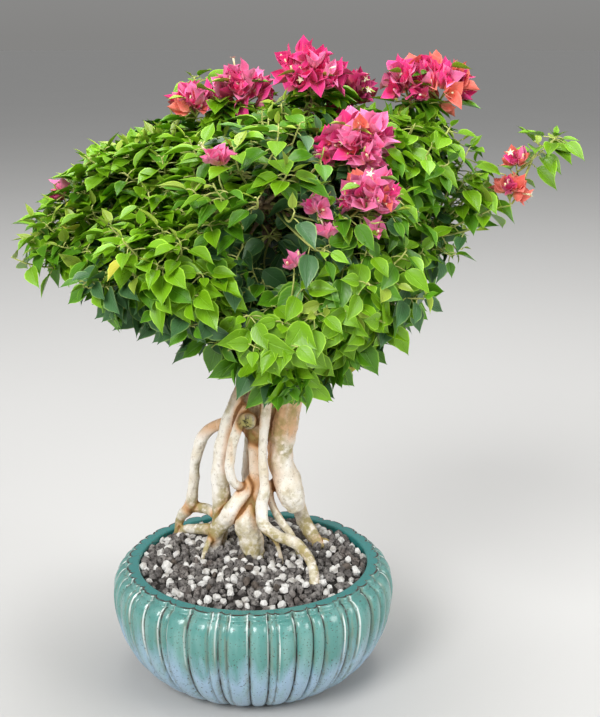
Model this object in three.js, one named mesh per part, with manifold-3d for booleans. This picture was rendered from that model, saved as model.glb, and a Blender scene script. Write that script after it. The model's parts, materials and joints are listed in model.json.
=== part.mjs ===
// A bougainvillea bonsai raised on its exposed roots, in a round fluted pot.
// Units are millimetres and +Z is up. The origin is the centre of the pot's flat underside,
// and the front of the tree faces -Y.

import * as THREE from "three";
import { mergeVertices } from "three/addons/utils/BufferGeometryUtils.js";
import Module from "manifold-3d";

const wasm = await Module();
wasm.setup();

// Clearance between neighbouring pieces, the size of detail that a seam may lose,
// the distance within which corners are one, and how far a cutting body overshoots
const GAP = 0.3;
const SEAM = 0.05;
const MERGE = 1e-3;
const OVERSHOOT = 5;

// The pot: a squat bowl whose wall is carved into lobes of uneven width.
// hollow gives the inside as [radius, height] from the floor to the neck.
const POT = {
  height: 114,
  footRadius: 84,
  bellyRadius: 141,
  bellyHeight: 86,
  lipRadius: 129,
  lipHeight: 109,
  lipBevel: 3,
  mouthRadius: 114.5,
  floor: 12,
  hollow: [[72, 12], [106, 34], [125, 78], [115.5, 100]],
  hollowSides: 28,
  wallCurve: 1.2,
  wallSteps: 4,
  lobes: 38,
  lobeSpread: 0.55,
  grooveDepth: 4,
  seed: 11,
};

// The growing mix: level round the roots, sloping down to the pot's wall
const SOIL = { top: 115, edge: 107, levelRadius: 92 };

// The trunk, as waypoints [x, y, z, radius] from the top of the roots to its tip
const TRUNK = [
  [4, 26, 236, 13],
  [4, 26, 262, 18],
  [8, 27, 300, 23],
  [14, 27, 345, 19],
  [21, 27, 395, 14],
  [26, 28, 443, 10],
  [23, 30, 492, 6.5],
];
// The healed stub of a limb that was sawn off, low on the front of the trunk
const SCAR = [[-2, 22, 260, 8], [-5, 3, 257, 8.6], [-5.3, 0.5, 256.6, 6.5]];

// The exposed roots, as waypoints from the trunk down. Runs in one list are one piece of wood.
// A root gives way to the roots listed before it.
const ROOTS = {
  left: [
    [[0, 24, 300, 9], [-12, 22, 274, 10.6], [-27, 19, 238, 9.2], [-34, 20, 200, 9], [-33, 26, 166, 9.6],
      [-37, 34, 130, 9], [-38, 36, 108, 8]],
    [[-44, 33, 131, 6.5], [-60, 45, 126, 5.5], [-75, 57, 120, 4.6], [-80, 60, 112, 4]],
  ],
  right: [
    [[14, 28, 328, 11], [31, 29, 294, 15], [31, 27, 252, 14], [26, 22, 219, 10.5], [32, 18, 192, 12.4],
      [38, 15, 172, 11.5], [43, 14, 160, 5]],
  ],
  front: [
    [[13, 15, 302, 6], [14, 7, 276, 6], [11, 3, 240, 4.8], [10, 2, 214, 4.6], [12, 0, 189, 5.6],
      [9, -1, 168, 6.2], [11, -6, 152, 6.4], [24, -16, 145, 6.2], [42, -26, 141, 6], [54, -40, 134, 5.4],
      [60, -55, 124, 4.8], [60, -70, 106, 4.4]],
    [[17, -9, 143, 3], [24, -12, 134, 2.6], [30, -14, 110, 2]],
  ],
  outer_left: [
    [[-2, 27, 247, 8], [-34, 33, 244, 6.2], [-50, 39, 232, 5.8], [-59, 44, 208, 5.6], [-63, 50, 178, 5.5],
      [-68, 56, 147, 6.6], [-79, 63, 131, 5], [-84, 66, 108, 4.2]],
    [[-67, 56, 146, 5], [-48, 52, 146, 5.4], [-34, 47, 143, 5]],
  ],
  crossing: [
    [[10, 26, 200, 7], [-6, 15, 182, 7.6], [-16, 10, 169, 8], [-27, 12, 152, 8.6], [-38, 18, 134, 8],
      [-43, 22, 106, 6]],
    [[-43, 18, 132, 3.2], [-48, 5, 122, 2.8], [-54, -10, 106, 2]],
  ],
  middle: [
    [[0, 21, 262, 6.5], [1, 18, 212, 5.6], [3, 15, 186, 6], [3, 12, 160, 7]],
  ],
  loop: [
    [[-3, 17, 276, 5], [-12, 7, 256, 5.4], [-20, 3, 232, 4.8], [-23, 4, 206, 4.6], [-18, 8, 190, 4.6],
      [-9, 15, 184, 4.4]],
  ],
  knuckle: [
    [[0, 17, 172, 8], [-6, 9, 146, 12.4], [-2, 5, 128, 11.5], [2, 2, 108, 8.5]],
  ],
  right_foot: [
    [[14, 36, 286, 8], [25, 43, 244, 9], [31, 43, 200, 8], [42, 38, 164, 7.6], [52, 33, 138, 7.4],
      [66, 29, 114, 7], [70, 28, 104, 6]],
    [[60, 31, 120, 4], [74, 34, 116, 3.4], [86, 38, 106, 2.4]],
  ],
  inner: [
    [[14, 16, 190, 5], [18, 14, 168, 4.4], [27, 11, 150, 4.2], [38, 5, 136, 3.8], [52, 0, 106, 3]],
  ],
  back: [
    [[5, 34, 288, 8], [4, 45, 252, 9.5], [-2, 56, 214, 8.6], [-6, 64, 172, 8.4], [-2, 72, 136, 8.4],
      [6, 80, 104, 7]],
  ],
};

// The masses of leaves and of bracts.
// Each holds an ellipsoid of space, less what lies nearer to another's centre.
// rise is the height on the trunk where its bough leaves, and bough is that bough's radius there.
// The arm is an open shoot that bears some bracts among its leaves, at the places in blooms.
const LEAF_MASSES = {
  left_tip: { centre: [-138, 0, 434], radii: [86, 96, 66], rise: 322, bough: 9 },
  left_top: { centre: [-82, 24, 512], radii: [100, 98, 70], rise: 392, bough: 7 },
  left_front: { centre: [-64, -82, 420], radii: [90, 84, 78], rise: 338, bough: 7.5 },
  front_low: { centre: [26, -88, 364], radii: [76, 72, 84], rise: 316, bough: 6.5 },
  front_right: { centre: [92, -64, 406], radii: [82, 82, 86], rise: 348, bough: 7.5 },
  right: { centre: [146, 20, 430], radii: [72, 88, 80], rise: 364, bough: 8 },
  right_top: { centre: [140, 12, 522], radii: [70, 84, 72], rise: 424, bough: 6.5 },
  top_front: { centre: [12, -70, 482], radii: [98, 88, 94], rise: 400, bough: 6.5 },
  top: { centre: [28, 42, 544], radii: [112, 96, 62], rise: 492, bough: 6 },
  back_left: { centre: [-76, 112, 440], radii: [98, 86, 86], rise: 356, bough: 7.5 },
  back: { centre: [28, 140, 410], radii: [90, 76, 94], rise: 330, bough: 7 },
  back_top: { centre: [12, 108, 496], radii: [88, 76, 68], rise: 436, bough: 5.5 },
  back_right: { centre: [118, 108, 448], radii: [86, 86, 88], rise: 378, bough: 7 },
  arm: {
    centre: [244, 0, 488], radii: [66, 52, 54], rise: 410, bough: 6.5,
    open: true, count: 36, blooms: [10, 14, 18, 22],
  },
};
const BRACT_MASSES = {
  top_left: { centre: [-26, -8, 570], radii: [60, 46, 42], rise: 462, bough: 4.2 },
  top: { centre: [64, 8, 582], radii: [56, 48, 44], rise: 478, bough: 4.2 },
  top_right: { centre: [164, 2, 574], radii: [54, 48, 44], rise: 452, bough: 4.2 },
  front: { centre: [98, -66, 532], radii: [50, 44, 44], rise: 442, bough: 4.2 },
  front_low: { centre: [106, -98, 486], radii: [44, 40, 44], rise: 432, bough: 4.2 },
  back: { centre: [40, 112, 558], radii: [54, 46, 42], rise: 470, bough: 4.2 },
  back_left: { centre: [-94, 88, 536], radii: [46, 44, 40], rise: 448, bough: 4.2 },
};

// How boughs and masses grow. Shares are of the way from a mass's centre to the edge of its space.
const GROWTH = {
  // Where a bough ends in its mass, its radius there as a share, and its arch as a share of its length
  entry: 0.52,
  boughTaper: 0.6,
  boughArch: 0.1,
  // The stem inside a mass: its radius against the bough's, its taper, where it turns to the centre,
  // how far it runs on through an open mass, and the part of it that bears blades
  stemRadius: 0.9,
  stemTaper: 0.25,
  stemTurn: 0.2,
  stemBeyond: 0.7,
  bladesFrom: 0.25,
  bladesTo: 0.98,
  // The radius of a twig, and of the stalk that a blade starts from
  twigRadius: 1.5,
  // The edge of a mass's space, the step and margin of the search for it, and how short a twig may fall
  edge: 1.05,
  shareStep: 0.04,
  shareKept: 0.03,
  sharePulled: 0.85,
  // How far a blade, a twig's end and the core keep off the limbs
  bladeClearance: 1.2,
  twigClearance: 2.4,
  coreClearance: 3.6,
  // A blade's size is the largest less a chance part, and less again each time that it has to be retried
  largest: 1.1,
  chance: 0.2,
  shrink: 0.03,
  tries: 10,
  seed: 1000,
};

// The blades, larger than life. core is how far out a dense mass is solid, and base where its blades start.
// A blade leans from straight out to downhill and sideways by these shares.
const LEAF = {
  length: 53,
  width: 40,
  thickness: 1.6,
  widest: 0.45,
  count: 41,
  core: 0.58,
  base: 0.52,
  downhill: 1.3,
  sideways: 0.9,
};
const BRACT = {
  length: 33,
  width: 28,
  thickness: 1.4,
  widest: 0.6,
  count: 19,
  core: 0.42,
  base: 0.36,
  downhill: 0.2,
  sideways: 0.9,
};

// Facets round a limb, and steps along each span between waypoints
const TRUNK_FACETS = { sides: 9, steps: 2 };
const ROOT_FACETS = { sides: 6, steps: 2 };
const BOUGH_FACETS = { sides: 5, steps: 1 };
const SHOOT_FACETS = { sides: 4, steps: 1 };
const SPANS_PER_WAYPOINT = 3;

const FINISHES = {
  glaze: new THREE.MeshStandardMaterial({ color: "#5fa9a2", roughness: 0.22, metalness: 0 }),
  mix: new THREE.MeshStandardMaterial({ color: "#77736f", roughness: 0.95, metalness: 0 }),
  bark: new THREE.MeshStandardMaterial({ color: "#9a8064", roughness: 0.85, metalness: 0 }),
  root: new THREE.MeshStandardMaterial({ color: "#dccbb0", roughness: 0.7, metalness: 0 }),
  leaf: new THREE.MeshStandardMaterial({ color: "#5c9a2f", roughness: 0.5, metalness: 0 }),
  bract: new THREE.MeshStandardMaterial({ color: "#dc3f86", roughness: 0.6, metalness: 0 }),
};

const GOLDEN_ANGLE = Math.PI * (3 - Math.sqrt(5));
const UP = new THREE.Vector3(0, 0, 1);
// The width and height of an even triangle in a circle of radius 1
const TRIANGLE = { width: Math.sqrt(3), height: 1.5 };

// A repeatable source of random numbers from 0 to 1.
function randomSource(seed) {
  let state = seed >>> 0;
  return () => {
    state = (state + 0x6d2b79f5) >>> 0;
    let mixed = Math.imul(state ^ (state >>> 15), state | 1);
    mixed ^= mixed + Math.imul(mixed ^ (mixed >>> 7), mixed | 61);
    return ((mixed ^ (mixed >>> 14)) >>> 0) / 4294967296;
  };
}

// A closed three.js geometry as a solid, without the triangles that have closed up at a pole.
function solidOf(geometry) {
  const bare = geometry.clone();
  bare.deleteAttribute("normal");
  bare.deleteAttribute("uv");
  const merged = mergeVertices(bare, MERGE);
  const triVerts = [];
  for (let i = 0; i < merged.index.count; i += 3) {
    const corners = [0, 1, 2].map((k) => merged.index.getX(i + k));
    if (new Set(corners).size === 3) triVerts.push(...corners);
  }
  const mesh = new wasm.Mesh({
    numProp: 3,
    vertProperties: merged.attributes.position.array,
    triVerts: new Uint32Array(triVerts),
  });
  return new wasm.Manifold(mesh);
}

// A solid as a three.js geometry.
function geometryOf(solid) {
  const { vertProperties, triVerts } = solid.getMesh();
  const geometry = new THREE.BufferGeometry();
  geometry.setAttribute("position", new THREE.BufferAttribute(vertProperties, 3));
  geometry.setIndex(new THREE.BufferAttribute(triVerts, 1));
  geometry.computeVertexNormals();
  return geometry;
}

function union(solids) {
  return solids.reduce((all, solid) => all.add(solid));
}

// The largest body of a solid, without loose scraps or sealed hollows.
function mainBody(solid) {
  const bodies = solid.simplify(SEAM).decompose();
  return bodies.reduce((best, body) => (body.volume() > best.volume() ? body : best));
}

function vector([x, y, z]) {
  return new THREE.Vector3(x, y, z);
}

// A solid of revolution about Z from points [radius, height].
function lathe(section, sides) {
  const points = section.map(([radius, z]) => new THREE.Vector2(radius, z));
  return new THREE.LatheGeometry(points, sides).rotateX(Math.PI / 2);
}

// The stations round the pot: a groove at the start of each lobe and a crest in its middle.
function lobeStations() {
  const random = randomSource(POT.seed);
  const widths = Array.from({ length: POT.lobes }, () => 1 + POT.lobeSpread * (2 * random() - 1));
  const unit = (2 * Math.PI) / widths.reduce((sum, width) => sum + width);
  let angle = 0;
  return widths.flatMap((width) => {
    const start = angle;
    angle += width * unit;
    return [{ angle: start, depth: POT.grooveDepth }, { angle: (start + angle) / 2, depth: 0 }];
  });
}

// The pot's outside, as points [radius, height, share of the carving] up the wall and over the lip.
function wallSection() {
  const { height, footRadius, bellyRadius, bellyHeight, lipRadius, lipHeight, lipBevel } = POT;
  const foot = Array.from({ length: POT.wallSteps + 1 }, (_, i) => {
    const turn = (i / POT.wallSteps) * (Math.PI / 2);
    const radius = footRadius + (bellyRadius - footRadius) * Math.sin(turn) ** POT.wallCurve;
    return [radius, bellyHeight * (1 - Math.cos(turn)), 1];
  });
  const half = Math.SQRT1_2;
  const shoulderRadius = bellyRadius - (bellyRadius - lipRadius) * (1 - half);
  const shoulderHeight = bellyHeight + (lipHeight - bellyHeight) * half;
  const lip = [[lipRadius, lipHeight, 1], [lipRadius - lipBevel, height, 1]];
  return [...foot, [shoulderRadius, shoulderHeight, 1], ...lip];
}

// The pot is turned, its stations are set to the lobes and pressed in at the grooves, and it is hollowed.
function potSolid() {
  const stations = lobeStations();
  const section = [[0, 0, 0], ...wallSection(), [0, POT.height, 0]];
  const outside = lathe(section, stations.length);
  const position = outside.attributes.position;
  for (let i = 0; i < position.count; i++) {
    const { angle, depth } = stations[Math.floor(i / section.length) % stations.length];
    const [radius, z, share] = section[i % section.length];
    const carved = radius - depth * share;
    position.setXYZ(i, carved * Math.cos(angle), carved * Math.sin(angle), z);
  }
  const above = POT.height + OVERSHOOT;
  const mouth = [[POT.mouthRadius, POT.height], [POT.mouthRadius, above], [0, above]];
  const hollow = lathe([[0, POT.floor], ...POT.hollow, ...mouth], POT.hollowSides);
  return solidOf(outside).subtract(solidOf(hollow));
}

// The soil fills the hollow, clear of its wall.
function soilSolid() {
  const side = POT.hollow.map(([radius, z]) => [radius - 2 * GAP, z + GAP]);
  const top = [[POT.mouthRadius - 2 * GAP, SOIL.edge], [SOIL.levelRadius, SOIL.top], [0, SOIL.top]];
  return solidOf(lathe([[0, POT.floor + GAP], ...side, ...top], POT.hollowSides));
}

function pathOf(waypoints) {
  return new THREE.CatmullRomCurve3(waypoints.map(vector), false, "centripetal");
}

// The radius at a share of the way along the waypoints.
function radiusAt(waypoints, share) {
  const place = share * (waypoints.length - 1);
  const before = Math.min(Math.floor(place), waypoints.length - 2);
  return THREE.MathUtils.lerp(waypoints[before][3], waypoints[before + 1][3], place - before);
}

// A limb is a cylinder bent along the smooth path through its waypoints, each [x, y, z, radius].
// swell makes it larger all round, to cut its clearance into a neighbour.
function limbSolid(waypoints, facets, swell = 0) {
  const path = pathOf(waypoints);
  const steps = (waypoints.length - 1) * facets.steps;
  const { tangents, normals, binormals } = path.computeFrenetFrames(steps, false);
  const limb = new THREE.CylinderGeometry(1, 1, 1, facets.sides, steps);
  const position = limb.attributes.position;
  for (let i = 0; i < position.count; i++) {
    const share = position.getY(i) + 0.5;
    const step = Math.round(share * steps);
    const radius = radiusAt(waypoints, path.getUtoTmapping(share)) + swell;
    const overrun = (Number(step === steps) - Number(step === 0)) * swell;
    const point = path.getPointAt(share).addScaledVector(tangents[step], overrun);
    point.addScaledVector(normals[step], position.getX(i) * radius);
    point.addScaledVector(binormals[step], -position.getZ(i) * radius);
    position.setXYZ(i, ...point);
  }
  return solidOf(limb);
}

const bonsai = new THREE.Group();

function addMesh(name, solid, finish) {
  const mesh = new THREE.Mesh(geometryOf(solid), finish.clone());
  mesh.name = name;
  bonsai.add(mesh);
}

// The limbs made so far. What comes later keeps clear of them.
const limbs = [];

// Straight spans along a limb's axis, each with its radius.
function spansOf(waypoints) {
  const path = pathOf(waypoints);
  const count = (waypoints.length - 1) * SPANS_PER_WAYPOINT;
  return Array.from({ length: count }, (_, i) => ({
    line: new THREE.Line3(path.getPoint(i / count), path.getPoint((i + 1) / count)),
    radius: radiusAt(waypoints, (i + 0.5) / count),
  }));
}

function cutClear(solid) {
  return limbs.reduce((rest, { clearing }) => rest.subtract(clearing), solid);
}

// Adds a limb of one or more runs, cut clear of earlier limbs and level with the ground.
function addLimb(name, runs, facets, finish) {
  const ground = new THREE.BoxGeometry(2 * POT.bellyRadius, 2 * POT.bellyRadius, SOIL.top + GAP);
  ground.translate(0, 0, (SOIL.top + GAP) / 2);
  const whole = union(runs.map((run) => limbSolid(run, facets)));
  addMesh(name, mainBody(cutClear(whole.subtract(solidOf(ground)))), finish);
  const clearing = union(runs.map((run) => limbSolid(run, facets, GAP)));
  limbs.push({ clearing, spans: runs.flatMap(spansOf) });
}

const nearest = new THREE.Vector3();

function clearOfLimbs(point, clearance) {
  return limbs.every(({ spans }) =>
    spans.every(({ line, radius }) => {
      line.closestPointToPoint(point, true, nearest);
      return nearest.distanceTo(point) > radius + clearance;
    }),
  );
}

function massesOf(table, kind, prefix) {
  return Object.entries(table).map(([name, { centre, radii, ...rest }]) => ({
    name: prefix + name,
    kind,
    centre: vector(centre),
    radii: vector(radii),
    ...rest,
  }));
}

const masses = [...massesOf(LEAF_MASSES, LEAF, "leaves_"), ...massesOf(BRACT_MASSES, BRACT, "bracts_")];

// An open shoot is not dense enough to have a core.
function dense(mass) {
  return !mass.open;
}

// How far a point is from a mass's centre, as a share of the way to the edge of its ellipsoid.
function shareOut(mass, point) {
  return point.clone().sub(mass.centre).divide(mass.radii).length();
}

// True if a point lies in a mass's own space.
function inSpace(mass, point) {
  const own = shareOut(mass, point);
  const others = masses.filter((other) => other !== mass);
  return own <= GROWTH.edge && others.every((other) => shareOut(other, point) > own + GROWTH.shareKept);
}

// The point on the trunk's axis at a height.
function trunkAt(height) {
  const above = Math.max(1, TRUNK.findIndex(([, , z]) => z >= height));
  const [low, high] = [vector(TRUNK[above - 1]), vector(TRUNK[above])];
  return low.lerp(high, (height - low.z) / (high.z - low.z));
}

// A bough arches from the trunk to where it enters its mass, tapering as it goes.
function boughWaypoints(mass) {
  const start = trunkAt(mass.rise);
  const tip = mass.centre.clone().lerp(start, GROWTH.entry / shareOut(mass, start));
  const arch = GROWTH.boughArch * start.distanceTo(tip);
  return [0, 1 / 3, 2 / 3, 1].map((share) => {
    const point = start.clone().lerp(tip, share).addScaledVector(UP, arch * Math.sin(Math.PI * share));
    return [...point, mass.bough * THREE.MathUtils.lerp(1, GROWTH.boughTaper, share)];
  });
}

// The stem goes on from its limb's tip to the mass's centre, and across an open mass to its far side.
function stemWaypoints(mass, limb) {
  const [before, tip] = limb.slice(-2).map(vector);
  const onward = tip.clone().sub(before).normalize();
  const start = tip.clone().addScaledVector(onward, GAP);
  const points = [start, start.clone().lerp(mass.centre, GROWTH.stemTurn), mass.centre];
  if (mass.open) points.push(mass.centre.clone().addScaledVector(onward, GROWTH.stemBeyond * mass.radii.x));
  const radius = GROWTH.stemRadius * limb.at(-1)[3];
  return points.map((point, i) => [...point, radius * (1 - (GROWTH.stemTaper * i) / (points.length - 1))]);
}

// Directions spread evenly over a sphere.
function evenDirections(count, turn) {
  return Array.from({ length: count }, (_, i) => {
    const height = 1 - (2 * i + 1) / count;
    return new THREE.Vector3().setFromSphericalCoords(1, Math.acos(height), turn + i * GOLDEN_ANGLE);
  });
}

// The furthest point from a mass's centre in a direction, up to a share, in its space and off the limbs.
function reach(mass, direction, share, clearance) {
  for (let out = share; out > GROWTH.shareStep; out -= GROWTH.shareStep) {
    const point = direction.clone().multiply(mass.radii).multiplyScalar(out).add(mass.centre);
    if (inSpace(mass, point) && clearOfLimbs(point, clearance)) return point;
  }
  return mass.centre.clone();
}

function overlap(a, b) {
  const [boxA, boxB] = [a.boundingBox(), b.boundingBox()];
  const apart = [0, 1, 2].some((k) => boxA.min[k] > boxB.max[k] || boxB.min[k] > boxA.max[k]);
  return !apart && !a.intersect(b).isEmpty();
}

// The masses grown so far. What comes later keeps clear of them.
const grown = [];

// The core of a dense mass: a ball whose corners are drawn in to the mass's space.
// It is made smaller until it is clear of the masses grown before it.
function coreSolid(mass, share = mass.kind.core) {
  const ball = new THREE.IcosahedronGeometry(1, 1);
  const position = ball.attributes.position;
  for (let i = 0; i < position.count; i++) {
    const direction = new THREE.Vector3().fromBufferAttribute(position, i);
    const corner = reach(mass, direction, share, GROWTH.coreClearance);
    position.setXYZ(i, ...corner);
  }
  const core = solidOf(ball);
  const blocked = grown.some((other) => overlap(core, other));
  return blocked ? coreSolid(mass, share - GROWTH.shareStep) : core;
}

// A blade: a three-sided stalk opens into a flat blade with a low ridge.
// In an open mass the stalk is a twig that reaches back to the root on the stem.
// Returns nothing where it would leave the mass's space or touch a limb.
function bladeSolid(mass, kind, root, base, along, scale) {
  const twigAlong = base.clone().sub(root).normalize();
  const across = new THREE.Vector3().crossVectors(along, twigAlong).normalize();
  const length = kind.length * scale;
  const middle = base.clone().addScaledVector(along, kind.widest * length);
  const tip = base.clone().addScaledVector(along, length);
  const twig = { width: 2 * GROWTH.twigRadius, height: TRIANGLE.height * GROWTH.twigRadius };
  const rings = [
    { centre: base, along: dense(mass) ? along : twigAlong, ...twig },
    { centre: middle, along, width: kind.width * scale, height: kind.thickness },
    { centre: tip, along, width: 0, height: 0 },
  ];
  if (!dense(mass)) rings.unshift({ centre: root, along: twigAlong, ...twig });
  const blade = new THREE.CylinderGeometry(1, 1, 1, 3, rings.length - 1);
  const position = blade.attributes.position;
  for (let i = 0; i < position.count; i++) {
    const step = Math.round((position.getY(i) + 0.5) * (rings.length - 1));
    const ring = rings[step];
    const ridge = new THREE.Vector3().crossVectors(across, ring.along);
    const corner = ring.centre.clone();
    corner.addScaledVector(across, (position.getX(i) * ring.width) / TRIANGLE.width);
    corner.addScaledVector(ridge, (position.getZ(i) * ring.height) / TRIANGLE.height);
    if (step && !(inSpace(mass, corner) && clearOfLimbs(corner, GROWTH.bladeClearance))) return null;
    position.setXYZ(i, ...corner);
  }
  return solidOf(blade);
}

// The way that a blade points: out along its twig, downhill, and to one side by chance.
function bladeDirection(kind, outward, swing) {
  const level = new THREE.Vector3().crossVectors(outward, UP).normalize();
  const downhill = new THREE.Vector3().crossVectors(outward, level);
  const along = outward.clone().addScaledVector(downhill, kind.downhill + swing.y);
  return along.addScaledVector(level, kind.sideways * swing.x).normalize();
}

// The blades of a mass, in even directions from its centre.
// One that a neighbour or limb would draw in much is skipped, and so is one that fits nowhere.
function bladesOf(mass, stem) {
  const random = randomSource(GROWTH.seed + masses.indexOf(mass));
  const path = pathOf(stem);
  const count = mass.count ?? mass.kind.count;
  const blades = [];
  evenDirections(count, 2 * Math.PI * random()).forEach((direction, i) => {
    const kind = mass.blooms?.includes(i) ? BRACT : mass.kind;
    const base = reach(mass, direction, kind.base, GROWTH.twigClearance);
    if (shareOut(mass, base) < GROWTH.sharePulled * kind.base) return;
    const onStem = path.getPoint(THREE.MathUtils.lerp(GROWTH.bladesFrom, GROWTH.bladesTo, i / (count - 1)));
    const root = dense(mass) ? mass.centre : onStem;
    const outward = base.clone().sub(root).normalize();
    for (let attempt = 0; attempt < GROWTH.tries; attempt++) {
      const swing = new THREE.Vector2(2 * random() - 1, random() - 0.5);
      const scale = GROWTH.largest - GROWTH.chance * random() - GROWTH.shrink * attempt;
      const blade = bladeSolid(mass, kind, root, base, bladeDirection(kind, outward, swing), scale);
      if (!blade || [...blades, ...grown].some((other) => overlap(blade, other))) continue;
      blades.push(blade);
      return;
    }
  });
  return blades;
}

// A mass is its stem and blades and, where it is dense, its core.
// It is one piece, clear of the limbs and of the other masses' stems.
function massSolid(mass, stem, otherStems) {
  const core = dense(mass) ? [coreSolid(mass)] : [];
  const whole = union([limbSolid(stem, SHOOT_FACETS), ...core, ...bladesOf(mass, stem)]);
  const clearings = otherStems.map((other) => limbSolid(other, SHOOT_FACETS, GAP));
  return mainBody(clearings.reduce((rest, clearing) => rest.subtract(clearing), cutClear(whole)));
}

addMesh("pot", potSolid(), FINISHES.glaze);
addMesh("soil", soilSolid(), FINISHES.mix);
addLimb("trunk", [TRUNK, SCAR], TRUNK_FACETS, FINISHES.bark);
for (const [name, runs] of Object.entries(ROOTS)) addLimb("root_" + name, runs, ROOT_FACETS, FINISHES.root);

// All boughs come before any mass. The mass at the very top grows from the trunk's own tip.
const carriers = masses.map((mass) => {
  if (mass.rise >= TRUNK.at(-1)[2]) return TRUNK;
  const waypoints = boughWaypoints(mass);
  const name = mass.name.replace("leaves_", "bough_").replace("bracts_", "shoot_");
  addLimb(name, [waypoints], mass.kind === LEAF ? BOUGH_FACETS : SHOOT_FACETS, FINISHES.bark);
  return waypoints;
});
const stems = masses.map((mass, i) => stemWaypoints(mass, carriers[i]));
masses.forEach((mass, i) => {
  const solid = massSolid(mass, stems[i], stems.toSpliced(i, 1));
  grown.push(solid);
  addMesh(mass.name, solid, mass.kind === LEAF ? FINISHES.leaf : FINISHES.bract);
});

export default bonsai;
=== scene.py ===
"""A bougainvillea bonsai on its exposed roots, in a fluted and glazed pot.

Tables of places are in millimetres, and MM turns them to metres. All other lengths are in metres.
"""

import functools
import itertools
import json
import math
from types import SimpleNamespace

import bmesh
import bpy
import numpy as np
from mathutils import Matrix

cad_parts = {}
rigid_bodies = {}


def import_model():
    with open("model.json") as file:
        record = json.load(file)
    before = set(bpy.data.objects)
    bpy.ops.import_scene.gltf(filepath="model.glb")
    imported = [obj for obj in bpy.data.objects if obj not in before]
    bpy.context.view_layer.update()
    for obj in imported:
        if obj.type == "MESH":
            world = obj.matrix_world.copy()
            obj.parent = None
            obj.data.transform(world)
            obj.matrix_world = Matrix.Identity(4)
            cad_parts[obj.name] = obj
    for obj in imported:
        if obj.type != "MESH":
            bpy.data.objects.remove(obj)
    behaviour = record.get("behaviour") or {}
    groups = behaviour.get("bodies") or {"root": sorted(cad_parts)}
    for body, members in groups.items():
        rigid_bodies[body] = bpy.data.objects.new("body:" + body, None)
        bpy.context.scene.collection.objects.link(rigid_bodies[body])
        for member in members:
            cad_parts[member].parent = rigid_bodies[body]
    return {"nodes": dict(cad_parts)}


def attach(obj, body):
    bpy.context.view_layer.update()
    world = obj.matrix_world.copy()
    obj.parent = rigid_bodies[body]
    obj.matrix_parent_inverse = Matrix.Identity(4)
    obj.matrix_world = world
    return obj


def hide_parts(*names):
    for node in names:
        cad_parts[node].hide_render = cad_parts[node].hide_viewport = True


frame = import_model()

bl_info = {
    "name": "Bougainvillea Bonsai",
    "version": (1, 0, 0),
    "blender": (4, 5, 0),
    "location": "View3D > Sidebar > Bonsai",
    "description": "Makes a bougainvillea bonsai with its roots, leaves, bracts, gritty mix and pot",
    "category": "Add Mesh",
}

MM = 0.001
UP = np.array([0.0, 0.0, 1.0])
# The way that the flowers face, where no leaf lies over them
FRONT = np.array([0.0, -0.966, 0.259])
# Flowers beyond this depth are at the back of the crown
BEHIND = 24 * MM
GOLDEN_ANGLE = math.pi * (3 - math.sqrt(5))
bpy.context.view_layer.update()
NODES = sorted(frame["nodes"])

# The pot: a squat bowl whose wall is carved into lobes of uneven width
POT = SimpleNamespace(
    height=114 * MM, foot_radius=84 * MM, belly_radius=141 * MM, belly_height=86 * MM,
    lip_radius=129 * MM, lip_height=109 * MM, lip_bevel=3 * MM, mouth_radius=114.5 * MM,
    hollow=np.array([[0, 12], [72, 12], [106, 34], [125, 78], [115.5, 100]]) * MM,
    lobes=38, lobe_spread=0.55, wall_curve=1.2, seed=11,
)
# Places across a lobe where its wall has corners, and round the second groove of a wide lobe
LOBE_STEPS = np.array([0, 0.03, 0.07, 0.12, 0.2, 0.35, 0.5, 0.65, 0.8, 0.88, 0.93, 0.97])
SECOND_STEPS = np.array([-0.1, -0.06, -0.03, 0, 0.03, 0.06, 0.1])
# Where the second groove lies in turn, its half width and its share of the depth
SECOND_PLACES, SECOND_HALF, SECOND_DEPTH = (0.7, 0.3), 0.1, 0.75
# The place of the painted white highlight across a lobe, its distance from a second groove and its half
# width
GLINT_PLACE, GLINT_BESIDE, GLINT_HALF = 0.93, 0.06, 0.04
# How the depth of the carving is made up of sharp grooves and rounded lobes
SHARP_SHARE, ROUND_SHARE = 0.6, 0.4

# The growing mix: level round the roots, sloping down to the pot's wall
SOIL = SimpleNamespace(
    floor=12.3 * MM, top=115 * MM, edge=107 * MM, level_radius=92 * MM, edge_radius=113.9 * MM,
    sunk=1.5 * MM, rough=0.9 * MM, rough_size=7 * MM, gap=0.6 * MM,
)
# Grains: the smallest and largest and how far they are moved up or down, as shares of the middle size
SMALLEST, LARGEST, JOLT = 0.75, 1.2, 0.16
# The most grains to a square metre, and the chance from which they are bits of bark
MOST_GRAINS, BARK_CHANCE = 90000.0, 0.97

# The trunk, as waypoints [x, y, z, radius] from the top of the roots to its tip
TRUNK = np.array([
    [4, 26, 236, 13], [4, 26, 262, 18], [8, 27, 300, 23], [14, 27, 345, 19],
    [21, 27, 395, 14], [26, 28, 443, 10], [23, 30, 492, 6.5],
]) * MM
# The healed stub of a limb that was sawn off, low on the front of the trunk
SCAR = np.array([[-2, 22, 260, 8], [-5, 3, 257, 8.6], [-5.3, 0.5, 256.6, 6.5]]) * MM

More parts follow.
